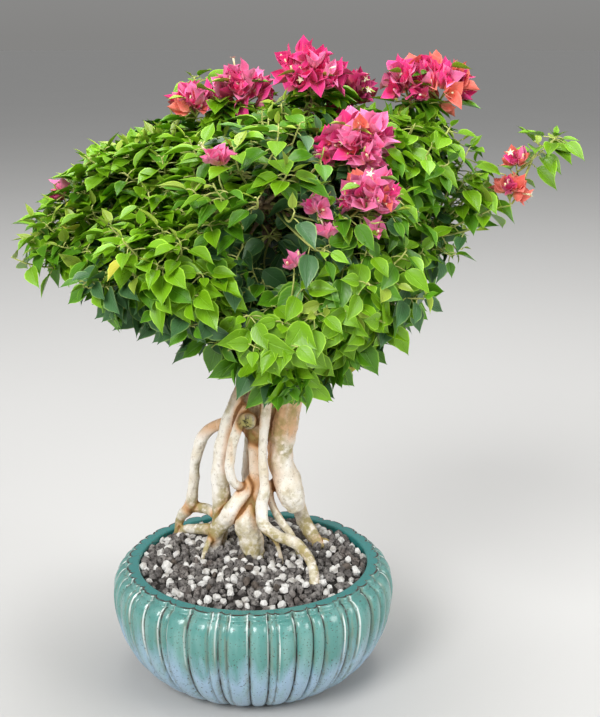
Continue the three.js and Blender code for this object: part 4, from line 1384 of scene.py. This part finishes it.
def spray(one, twig, axis, full, rng, count, first, exposed, free):
    """The leaves of one twig from a share of its length to its tip, as rows of places and shapes."""
    along = first + (1 - first) * np.linspace(0, 1, count) ** 0.65
    tipness = np.clip((np.arange(count) - count + 4) / 3, 0, 1)[:, None]
    points = along_path(twig, along)
    aside = unit(np.cross(axis, UP if abs(axis[2]) < 0.9 else np.array([1.0, 0, 0])))
    other = np.cross(axis, aside)
    angle = rng.uniform(0, 2 * math.pi) + np.arange(count) * GOLDEN_ANGLE + rng.uniform(-0.3, 0.3, count)
    around = unit(around_axis(aside, other, angle) * np.array([1, 1, 0.45]))
    out = np.tile(ARM_FACING, (count, 1)) if one.open else facing_out(one, points)
    level = np.full((count, 1), ARM_LYING) if one.open else lying(points)[:, None]
    opening = np.interp(tipness, [0, 0.6, 1], [1.5, 1.2, 0.45]) + rng.uniform(-0.15, 0.15, (count, 1))
    droop = (0.9 - 0.75 * level) * (1 - 0.75 * tipness) + rng.uniform(-0.1, 0.15, (count, 1))
    direction = unit(
        np.cos(opening) * axis + np.sin(opening) * around + 0.25 * out - droop * UP
        + rng.normal(scale=0.1, size=(count, 3)))
    normal = (
        level * (UP + 0.15 * out) + (1 - level) * (out + 0.3 * UP) + 0.3 * axis * tipness
        + rng.normal(scale=0.22, size=(count, 3)) * (1 - 0.4 * level))
    normal = square_to(direction, normal)
    stalk = rng.uniform(8, 13, (count, 1)) * MM * (1 - 0.65 * tipness)
    base = points + unit(0.8 * around + 0.5 * direction) * stalk
    size = full * rng.uniform(0.8, 1.12, count) * (1 - 0.5 * tipness[:, 0] ** 2) * (1 - 0.08 * level[:, 0])
    tips = base + direction * size[:, None]
    size = size * np.clip(1 - 1.6 * (share_out(one, tips) - 1.12), 0.6, 1)
    # Painted light and shade: each leaf is dealt a light, middle or deep green by how it faces, how exposed
    # and how low it hangs, and by the glows
    low = np.clip(1 - (points[:, 2] - skirt_at(points)) / (70 * MM), 0, 1)
    sun = 0.36 * out[:, 2] - 0.22 * out[:, 1] + 0.3 * exposed + 0.25 * tipness[:, 0] - 0.35 * low
    for centre, radius, gain in GLOWS:
        sun = sun + gain * np.exp(-np.sum((points - centre) ** 2, axis=1) / radius**2)
    sun = sun + rng.uniform(-0.34, 0.34) + rng.uniform(-0.14, 0.14, count)
    kind = np.select([sun > 0.5, sun > 0.1], [LIGHT, MIDDLE], DEEP)
    growing = exposed and rng.random() < (0.75 if level[-1, 0] > 0.5 else 0.16)
    kind = np.where(growing & (tipness[:, 0] > 0.6), YOUNG, kind)
    kind = np.where(rng.random(count) < 0.003, YELLOWED, kind)
    return leaf_rows(points, base, direction, normal, size, kind, free, level[:, 0], rng)


def leaf_rows(root, base, direction, normal, size, kind, free, level, rng):
    """Leaves as rows of places and shapes."""
    count = len(size)
    return {
        "root": root, "base": base, "direction": direction, "normal": normal, "size": size,
        "half": size * rng.uniform(0.28, 0.34, count) * np.where(kind == YOUNG, 0.78, 1),
        "bend": rng.uniform(0.05, 0.6, count) * (1 - 0.6 * level),
        "fold": rng.uniform(0.12, 0.45, count) + 0.2 * level, "wave": rng.uniform(0.0, 0.035, count),
        "phase": rng.uniform(0, 6.28, count), "kind": kind, "free": np.full(count, free),
        "stray": rng.uniform(0, 1, count),
    }


def collar(centre, radius, settings, rng):
    """A few leaves that stand out from under a cluster of flowers."""
    count = 7
    turn = rng.uniform(0, 2 * math.pi)
    angle = turn + np.arange(count) * 2 * math.pi / count + rng.uniform(-0.3, 0.3, count)
    around = np.stack([np.cos(angle), np.sin(angle), np.zeros(count)], axis=1)
    direction = unit(around + UP * rng.uniform(-0.5, 0.3, (count, 1)))
    normal = unit(UP - direction * direction[:, 2:] + rng.normal(scale=0.15, size=(count, 3)))
    normal = square_to(direction, normal)
    root = np.tile(centre - UP * 0.75 * radius, (count, 1))
    base = root + around * 0.45 * radius
    size = settings.size * rng.uniform(0.65, 0.95, count)
    kind = rng.choice([YOUNG, LIGHT, MIDDLE], count)
    return leaf_rows(root, base, direction, normal, size, kind, FREE, np.ones(count), rng)


def leaves_among(centre, radius, settings, rng):
    """Small folded leaves that come out sideways between the flowers of a cluster."""
    side = np.array([[-1.0, 0, 0], [1.0, 0, 0]])
    count = len(side)
    forward = FRONT * rng.uniform(0.3, 0.9, (count, 1))
    direction = unit(side + forward - UP * rng.uniform(0, 0.35, (count, 1)))
    normal = unit(UP + rng.normal(scale=0.25, size=(count, 3)))
    normal = square_to(direction, normal)
    root = centre + UP * radius * rng.uniform(-0.4, 0.25, (count, 1))
    base = root + (FRONT * 0.6 + side * rng.uniform(-0.1, 0.4, (count, 1))) * radius
    size = settings.size * rng.uniform(0.55, 0.75, count)
    kind = rng.choice([YOUNG, LIGHT, MIDDLE], count)
    return leaf_rows(root, base, direction, normal, size, kind, AMONG_FLOWERS, np.ones(count), rng)


def in_outline(leaves):
    """Which leaves stay within the crown's outline, out of its gaps and clear of the flowers."""
    held, among = leaves["free"] == HELD, leaves["free"] == AMONG_FLOWERS
    tips = leaves["base"] + leaves["direction"] * leaves["size"][:, None]
    over, under = 4 * MM + 20 * MM * leaves["stray"], -34 * MM + 28 * MM * leaves["stray"]
    kept = (tips[:, 2] < cap_at(tips) + over) & (tips[:, 2] > skirt_at(tips) - under)
    kept |= ~held
    kept &= tips[:, 0] > LEFT_LEAF
    for points in (tips, leaves["base"]):
        kept &= ~in_hollow(points)
        for _, centre, radius, _ in BLOOMS:
            kept &= (np.linalg.norm(points - centre, axis=1) > CLEAR * radius) | ~held
            if centre[1] > BEHIND:
                continue
            before = (points - centre) @ FRONT
            aside = np.linalg.norm(points - centre - before[:, None] * FRONT, axis=1)
            kept &= (before < 0) | (aside > CLEAR * radius) | among
    return kept


def flower(place_at, axis, size, rng, kind):
    """Three bracts round an axis."""
    aside = unit(np.cross(axis, unit(rng.normal(size=3))))
    other = np.cross(axis, aside)
    angle = rng.uniform(0, 2 * math.pi) + np.arange(3) * 2 * math.pi / 3 + rng.uniform(-0.15, 0.15, 3)
    around = around_axis(aside, other, angle)
    opening = rng.uniform(0.2, 0.75)
    open_way = math.cos(opening) * axis + math.sin(opening) * around
    direction = unit(open_way + rng.normal(scale=0.12, size=(3, 3)))
    normal = square_to(direction, axis)
    sizes = size * rng.uniform(0.78, 1.1) * rng.uniform(0.9, 1.08, 3)
    return {
        "root": np.repeat(place_at[None], 3, axis=0), "base": place_at + around * 1.2 * MM,
        "direction": direction, "normal": normal, "size": sizes, "half": sizes * rng.uniform(0.38, 0.48, 3),
        "bend": rng.uniform(-0.9, 0.8, 3), "fold": rng.uniform(0.3, 0.85, 3),
        "wave": rng.uniform(0.03, 0.09, 3), "phase": rng.uniform(0, 6.28, 3), "kind": np.full(3, kind),
    }


def bloom_kind(at, rng):
    """The tint of a flower by its place: painted shade at the back, still opening to the right, and paler
    in front and to the left as painted light.
    """
    if at[1] > BEHIND:
        return SHADED if rng.random() < SHADED_CHANCE else MAGENTA
    if rng.random() < next(chance for across, chance in CORAL_CHANCES if at[0] > across):
        return CORAL
    pale = OTHER_CHANCE
    if at[1] < ROSE_NEAREST:
        pale = NEAREST_CHANCE
    elif at[1] < ROSE_NEAR or at[0] < ROSE_LEFT:
        pale = NEAR_CHANCE
    return ROSE if rng.random() < pale else MAGENTA


def cluster(centre, radius, flowers, settings, rng):
    """One cluster of flowers round its centre: rows of bracts, their stalks and the small true flowers."""
    bracts, stalks, stars = [], [], []
    size = settings.size * (0.85 if radius < SPRIG else 1)
    inner = max(radius - 0.75 * size, 2 * MM)
    heart = centre - UP * 0.4 * radius
    for way in even_directions(flowers, rng.uniform(0, 2 * math.pi)):
        way = unit(way * np.array([1, 1, 0.6]) + 0.4 * UP - np.array([0, 0.2, 0]))
        at = heart + way * inner * rng.uniform(0.4, 1.15)
        axis = unit(0.8 * way + 0.55 * UP + rng.normal(scale=0.3, size=3))
        bracts.append(flower(at, axis, size, rng, bloom_kind(at, rng)))
        if rng.random() < 0.3:
            stalks.append(arched(heart - UP * 0.3 * radius, at, UP * MM, TWIG_POINTS))
        if rng.random() < 0.6:
            stars.append((at, axis, rng.random() < 0.12))
    return bracts, stalks, stars


def gather(rows):
    return {key: np.concatenate([row[key] for row in rows]) for key in rows[0]}


@functools.cache
def crown():
    """Everything that grows above the trunk: boughs, branches, twigs, leaves, bracts and flowers."""
    leaf, bract = bpy.context.scene.bonsai_leaf, bpy.context.scene.bonsai_bract
    boughs, branches, twigs, stalks, leaves, bracts, stars = [], [], [], [], [], [], []

    def grow(one, rng, shoot, size, count, first, exposed=True, free=FREE):
        """One twig with leaves of this share of the full size, from a share of its length on."""
        twig, axis = shoot
        twigs.append(twig)
        leaves.append(spray(one, twig, axis, size * leaf.size, rng, count, first, exposed, free))

    for index, (name, one) in enumerate(MASSES.items()):
        rng = np.random.default_rng(GROWTH.seed + index)
        path, radii = bough_path(one)
        bough_end = 1 - ARM_POINTS if one.open else None
        boughs.append((path[:bough_end], radii[:bough_end]))
        stem = path[-STEM_POINTS:]
        for mass_name, centre, radius, flowers in BLOOMS:
            if mass_name != name:
                continue
            grown = cluster(centre, radius, flowers, bract, rng)
            bracts += grown[0]
            stalks += grown[1]
            stars += grown[2]
            if radius > SPRIG:
                leaves.append(collar(centre, radius, leaf, rng))
                leaves.append(leaves_among(centre, radius, leaf, rng))
            foot = centre - UP * 0.72 * radius
            nearest = stem[np.argmin(np.linalg.norm(stem - foot, axis=1))]
            twigs.append(shoot_path(nearest, foot, UP))
        shoots, free = [], []
        if one.open:
            free = arm_shoots(path, rng)
            own = resample(path[-ARM_POINTS:], TWIG_POINTS)
            grow(one, rng, (own, unit(own[-1] - own[0])), 1, 22, 0.02)
        elif one.blooms:
            shoots = skirt_shoots(one, stem, rng)
        else:
            new_branches, shoots = twig_paths(one, stem, leaf, rng)
            branches += new_branches
            free = edge_shoots(name, one, stem, rng) + fringe_shoots(name, one, stem, rng)
        for shoot in shoots:
            tip = shoot[0][-1]
            further = tip + facing_out(one, tip[None])[0] * 20 * MM
            if nearest_other(one, further[None])[0] > 0.97:
                grow(one, rng, shoot, 1, leaf.each, 0.3, True, HELD)
            else:
                grow(one, rng, shoot, 1, leaf.each // 2 + 1, 0.5, False, HELD)
        for shoot in free:
            grow(one, rng, shoot, 0.95, leaf.each - 3, 0.55)
        for shoot in long_shoots(path, rng) if one.open else []:
            grow(one, rng, shoot, 1.2, 5, 0.62)
        for mass_name, end in LEADERS:
            if mass_name == name:
                start = stem[LEADER_START]
                axis = unit(end - start + 20 * MM * UP)
                loose = SimpleNamespace(**{**vars(one), "open": True})
                grow(loose, rng, (shoot_path(start, end, axis), axis), 0.7, leaf.each, 0.7)
    leaves = gather(leaves)
    kept = in_outline(leaves)
    leaves = {key: values[kept] for key, values in leaves.items()}
    return SimpleNamespace(
        boughs=boughs, branches=np.array(branches), twigs=np.array(twigs), stalks=np.array(stalks),
        leaves=leaves, bracts=gather(bracts), stars=stars)


def arm_shoots(path, rng):
    """Short shoots along the arm's stem, to either side, and one at its tip."""
    stem = path[-ARM_POINTS:]
    shoots = []
    for place_on in range(1, len(stem) - 5, 5):
        ahead = unit(stem[place_on + 1] - stem[place_on])
        side = unit(np.cross(ahead, UP)) * (1 if place_on % 2 else -1)
        way = unit(0.8 * ahead + 0.7 * side + 0.15 * UP + rng.normal(scale=0.2, size=3))
        end = stem[place_on] + way * rng.uniform(12, 26) * MM
        shoots.append((shoot_path(stem[place_on], end, way), way))
    for end in ARM_TWIGS:
        way = unit(end - stem[0] + rng.normal(scale=8 * MM, size=3))
        shoots.append((shoot_path(stem[0], end, way), way))
    tip = unit(stem[-1] - stem[-3])
    shoots.append((stem[-TWIG_POINTS:], unit(tip + 0.6 * UP)))
    return shoots


def long_shoots(path, rng):
    """Longer twigs that leave the arm where it comes out of the crown."""
    start = path[-ARM_POINTS]
    shoots = []
    for end in LONG_TWIGS:
        way = unit(end - start + rng.normal(scale=6 * MM, size=3))
        shoots.append((shoot_path(start, end, way), way))
    return shoots


def places_across(spans, name):
    """Where the shoots of one mass end, from a table of spans."""
    rows = [np.linspace(*span) * MM for mass_name, *span in spans if mass_name == name]
    return itertools.chain(*rows)


def edge_shoots(name, one, stem, rng):
    """Shoots of a mass that end along the top line of the crown and break it up."""
    shoots = []
    for across in places_across(EDGES, name):
        end = np.array([across + rng.normal() * 5 * MM, rng.uniform(-60, 45) * MM, 0])
        end[2] = cap_at(end) + rng.uniform(-14, 0) * MM
        axis = light_axis(facing_out(one, end[None])[0], rng)
        shoots.append((shoot_path(stem[rng.integers(4, len(stem))], end, axis), axis))
    return shoots


def fringe_shoots(name, one, stem, rng):
    """Shoots of a mass that hang to the bottom line of the crown."""
    shoots = []
    for across in places_across(FRINGES, name):
        depth = one.centre[1] + rng.uniform(-0.55, 0.15) * one.radii[1]
        end = np.array([across + rng.normal() * 4 * MM, depth, 0])
        end[2] = skirt_at(end) + rng.uniform(24, 36) * MM
        axis = unit(0.8 * facing_out(one, end[None])[0] - 0.2 * UP + rng.normal(scale=0.2, size=3))
        shoots.append((shoot_path(stem[rng.integers(4, len(stem))], end, axis), axis))
    return shoots


def skirt_shoots(one, stem, rng):
    """Leafy shoots under and around the flowers of a mass."""
    shoots = []
    for way in even_directions(22, rng.uniform(0, 2 * math.pi)):
        end = reach(one, unit(way * np.array([1, 1, 0.6]) - 0.15 * UP), rng.uniform(0.45, 0.8))
        axis = light_axis(facing_out(one, end[None])[0], rng)
        shoots.append((shoot_path(stem[rng.integers(2, 8)], end, axis), axis))
    return shoots


def make_boughs(settings):
    """Boughs from the trunk into every mass."""
    steps, sides = 30, 10
    parts = []
    for path, radii in crown().boughs:
        fine = resample(path, steps)
        thick = np.interp(np.linspace(0, 1, steps), np.linspace(0, 1, len(radii)), radii)
        corners, faces = tubes(fine[None], thick[None], sides)
        out = unit(corners - np.repeat(fine, sides, axis=0))
        knots, cracks = lattice_noise(corners / (5 * MM), 12), lattice_noise(corners / (2.2 * MM), 13)
        rough = (knots * 0.09 + cracks * 0.05) * np.repeat(thick, sides)
        parts.append((corners + out * rough[:, None], faces))
    corners, faces = join_parts(parts)
    made = new_object("boughs", corners, faces, bough_bark(settings))
    finish_piece(made, nodes_named("bough_", "shoot_"))


def tapered(paths, thick, thin, sides):
    """Limbs that taper evenly between two radii, given in millimetres."""
    radii = np.linspace(thick, thin, paths.shape[1]) * MM
    return tubes(paths, np.tile(radii, (len(paths), 1)), sides)


def make_twigs(settings):
    """Branches and twigs inside the masses, and the stalks of leaves and flowers."""
    grown = crown()
    mass_nodes = nodes_named("leaves_", "bracts_")
    made = new_object("branches", *tapered(grown.branches, 2.6, 1.4, 6), bough_bark(settings))
    finish_piece(made, mass_nodes)
    twig = tapered(grown.twigs, 1.35, 0.65, 5)
    stalk = tapered(grown.stalks, 0.9, 0.5, 4)
    leaves = grown.leaves
    middle = 0.5 * (leaves["root"] + leaves["base"]) + UP * 0.8 * MM
    held = np.stack([leaves["root"], middle, leaves["base"]], axis=1)
    petiole = tapered(held, 0.6, 0.6, 3)
    made = new_object("twigs", *join_parts([twig, stalk, petiole]), green_bark(settings))
    finish_piece(made, mass_nodes)


def blade_template(widest, point, rows):
    """Corners [along, across] of a blade, its share of the half width at each, and its faces."""
    along = np.linspace(0, 1, rows + 2)[1:-1]
    along = along - 0.07 * np.sin(2 * math.pi * along)
    across = np.array([-1, -0.5, 0, 0.5, 1])
    grid = np.array([[0, 0], *[[u, v] for u in along for v in across], [1, 0]])
    near = np.clip(grid[:, 0] / widest, 0, 1)
    far = np.clip((grid[:, 0] - widest) / (1 - widest), 0, 1)
    width = np.where(
        grid[:, 0] < widest, (1 - (1 - near) ** 2) ** 0.6, (1 - far) ** point * (1 + point * far))
    faces = [[0, 2 + k, 1 + k] for k in range(4)]
    for r in range(rows - 1):
        for k in range(4):
            a = 1 + r * 5 + k
            faces.append([a, a + 1, a + 6, a + 5])
    last = 1 + (rows - 1) * 5
    faces += [[last + k, last + k + 1, last + 5] for k in range(4)]
    return grid, width, faces


def blades(name, grown, chosen, widest, point, material):
    """Many blades as one object, each folded along its rib, bent along its length and waved at its edge."""
    grid, width, faces = blade_template(widest, point, 6)
    pick = {key: value[chosen] for key, value in grown.items()}
    along, across = grid[:, 0], grid[:, 1]
    size, half, bend, fold, wave, phase = (
        pick[key][:, None] for key in ("size", "half", "bend", "fold", "wave", "phase"))
    turned = bend * along
    forward = np.sin(turned) / bend * size
    sag = (1 - np.cos(turned)) / bend * size
    out = across * width * half * np.cos(fold)
    lift = np.abs(across) * width * half * np.sin(fold)
    lift = lift + wave * size * np.sin(9 * along + phase * np.sign(across)) * across**2 * width
    d, n = pick["direction"][:, None], pick["normal"][:, None]
    s = np.cross(pick["normal"], pick["direction"])[:, None]
    up = n * np.cos(turned)[..., None] + d * np.sin(turned)[..., None]
    corners = (
        pick["base"][:, None] + d * forward[..., None] - n * sag[..., None]
        + s * out[..., None] + up * lift[..., None])
    count = len(corners)
    starts = np.arange(count) * len(grid)
    every = [[start + corner for corner in face] for start in starts.tolist() for face in faces]
    made = new_object(name, corners.reshape(-1, 3), every, material)
    layer = made.data.uv_layers.new(name="blade")
    order = np.array([corner for face in faces for corner in face])
    flat = np.tile(np.stack([along, across], axis=1)[order], (count, 1))
    layer.data.foreach_set("uv", flat.astype(np.float32).ravel())
    return made


def make_leaves(settings):
    """Leaves in their sprays, one piece for each tint."""
    leaves = crown().leaves
    for kind, name in enumerate(LEAF_TINTS):
        material = leaf_blade(f"Leathery leaf {name}", getattr(settings, name))
        chosen = np.flatnonzero(leaves["kind"] == kind)
        made = blades(f"leaves_{name}_blades", leaves, chosen, LEAF_WIDEST, LEAF_POINT, material)
        finish_piece(made, nodes_named("leaves_"))


def make_bracts(settings):
    """Papery bracts in threes, one piece for each tint."""
    bracts = crown().bracts
    for kind, name in enumerate(BRACT_TINTS):
        material = papery_bract(f"Papery bract {name}", getattr(settings, name))
        chosen = np.flatnonzero(bracts["kind"] == kind)
        made = blades(f"bracts_{name}_blades", bracts, chosen, BRACT_WIDEST, BRACT_POINT, material)
        finish_piece(made, nodes_named("bracts_"))


def make_flowers(settings):
    """The true flowers inside the bracts: slim tubes, a few of them open to a star of five lobes."""
    rng = np.random.default_rng(GROWTH.seed)
    lobes = 5
    corner = np.arange(2 * lobes)
    parts = []
    for at, axis, opened in crown().stars:
        aside = unit(np.cross(axis, unit(rng.normal(size=3))))
        other = np.cross(axis, aside)
        top = at + axis * (rng.uniform(15, 20) if opened else rng.uniform(9, 15)) * MM
        tube_path = arched(at, top, aside * 1.5 * MM, 5)
        parts.append(tubes(tube_path[None], np.array([[0.6, 0.7, 0.7, 0.9, 1.1]]) * MM, 5))
        if not opened:
            continue
        notch = corner % 2
        radius = np.where(notch, 1.6, 4.2)[:, None] * MM
        star = top + axis * 0.6 * MM + radius * around_axis(aside, other, corner * math.pi / lobes)
        star = star + axis * np.where(notch, 0.0, 0.9)[:, None] * MM
        faces = [[len(corner), a, (a + 1) % len(corner)] for a in corner.tolist()]
        parts.append((np.vstack([star, top + axis * 0.2 * MM]), faces))
    made = new_object("cream_flowers", *join_parts(parts), cream_petal(settings))
    finish_piece(made, nodes_named("bracts_"))


# The stage

def make_stage(settings):
    """A pale floor, soft light from the front and above, and a camera at the usual view of the tree."""
    scene = bpy.context.scene
    sides, radius = 64, 60
    angles = np.linspace(0, 2 * math.pi, sides, endpoint=False)
    rim = [(radius * math.cos(angle), radius * math.sin(angle), 0) for angle in angles]
    floor = new_object("studio_floor", rim, [list(range(sides))], painted_board(settings), smooth=False)

    world = bpy.data.worlds.new("Soft studio")
    world.use_nodes = True
    world.node_tree.nodes.clear()
    node = functools.partial(add, world.node_tree)
    way = node("ShaderNodeSeparateXYZ", node("ShaderNodeTexCoord").outputs["Generated"])
    climb = node("ShaderNodeMapRange", way.outputs["Z"], 0.0, 0.45)
    horizon = tuple(0.93 * part for part in settings.floor)
    dome = node("ShaderNodeMix", climb, horizon, linear("#f4f5f6"), data_type="RGBA")
    node("ShaderNodeOutputWorld", node("ShaderNodeBackground", dome, 0.5))
    scene.world = world
    for name, place_at, size, power in (
        ("Front light", (-1.8, -3.0, 3.0), 2.2, settings.key),
        ("Side light", (3.0, -1.8, 2.0), 2.0, settings.key * 0.35),
        ("Top light", (0.2, 0.4, 3.6), 2.4, settings.key * 0.6),
    ):
        lamp = bpy.data.lights.new(name, "AREA")
        lamp.shape = "DISK"
        lamp.size = size
        lamp.energy = power
        lit = bpy.data.objects.new(name, lamp)
        lit.location = place_at
        aim = LIT_PLACE - np.array(place_at)
        tilt = math.acos(-aim[2] / np.linalg.norm(aim))
        lit.rotation_euler = (tilt, 0, math.atan2(aim[0], -aim[1]) + math.pi)
        scene.collection.objects.link(lit)

    camera = bpy.data.cameras.new("Camera")
    camera.lens, camera.sensor_width = CAMERA_LENS, CAMERA_SENSOR
    taken = bpy.data.objects.new("Camera", camera)
    taken.location = CAMERA_PLACE
    taken.rotation_euler = (CAMERA_TILT, 0, 0)
    scene.collection.objects.link(taken)
    scene.camera = taken
    scene.view_settings.view_transform = "Standard"


class BONSAI_OT_stage(bpy.types.Operator):
    """Make the floor, the lights and the camera"""

    bl_idname = "bonsai.stage"
    bl_label = "Stage"

    def execute(self, context):
        make_stage(context.scene.bonsai_stage)
        return {"FINISHED"}


class BONSAI_OT_pot(bpy.types.Operator):
    """Make the fluted and glazed pot"""

    bl_idname = "bonsai.pot"
    bl_label = "Pot"

    def execute(self, context):
        make_pot(context.scene.bonsai_pot)
        return {"FINISHED"}


class BONSAI_OT_mix(bpy.types.Operator):
    """Make the bed of grit and its grains"""

    bl_idname = "bonsai.mix"
    bl_label = "Growing mix"

    def execute(self, context):
        make_bed(context.scene.bonsai_mix)
        make_grit(context.scene.bonsai_mix)
        return {"FINISHED"}


class BONSAI_OT_wood(bpy.types.Operator):
    """Make the trunk and its exposed roots"""

    bl_idname = "bonsai.wood"
    bl_label = "Trunk and roots"

    def execute(self, context):
        make_wood(context.scene.bonsai_wood)
        return {"FINISHED"}


class BONSAI_OT_boughs(bpy.types.Operator):
    """Make the boughs, branches, twigs and stalks"""

    bl_idname = "bonsai.boughs"
    bl_label = "Boughs and twigs"

    def execute(self, context):
        make_boughs(context.scene.bonsai_wood)
        make_twigs(context.scene.bonsai_wood)
        return {"FINISHED"}


class BONSAI_OT_leaves(bpy.types.Operator):
    """Make the leaves"""

    bl_idname = "bonsai.leaves"
    bl_label = "Leaves"

    def execute(self, context):
        make_leaves(context.scene.bonsai_leaf)
        return {"FINISHED"}


class BONSAI_OT_bracts(bpy.types.Operator):
    """Make the bracts and the small flowers inside them"""

    bl_idname = "bonsai.bracts"
    bl_label = "Bracts and flowers"

    def execute(self, context):
        make_bracts(context.scene.bonsai_bract)
        make_flowers(context.scene.bonsai_bract)
        return {"FINISHED"}


OPERATORS = (
    BONSAI_OT_stage, BONSAI_OT_pot, BONSAI_OT_mix, BONSAI_OT_wood, BONSAI_OT_boughs, BONSAI_OT_leaves,
    BONSAI_OT_bracts,
)


class BONSAI_PT_panel(bpy.types.Panel):
    """Lists the pieces of the bonsai"""

    bl_idname = "BONSAI_PT_panel"
    bl_label = "Bougainvillea Bonsai"
    bl_space_type = "VIEW_3D"
    bl_region_type = "UI"
    bl_category = "Bonsai"

    def draw(self, context):
        for operator in OPERATORS:
            self.layout.operator(operator.bl_idname)
        for name, group in SETTINGS.items():
            box = self.layout.box()
            for key in group.__annotations__:
                box.prop(getattr(context.scene, name), key)


def register():
    for made in (*SETTINGS.values(), *OPERATORS, BONSAI_PT_panel):
        bpy.utils.register_class(made)
    for name, group in SETTINGS.items():
        setattr(bpy.types.Scene, name, bpy.props.PointerProperty(type=group))


def unregister():
    for name in SETTINGS:
        delattr(bpy.types.Scene, name)
    for made in (BONSAI_PT_panel, *reversed(OPERATORS), *reversed(SETTINGS.values())):
        bpy.utils.unregister_class(made)


def main():
    register()
    bpy.ops.bonsai.stage()
    bpy.ops.bonsai.pot()
    bpy.ops.bonsai.mix()
    bpy.ops.bonsai.wood()
    bpy.ops.bonsai.boughs()
    bpy.ops.bonsai.leaves()
    bpy.ops.bonsai.bracts()


if __name__ == "__main__":
    main()
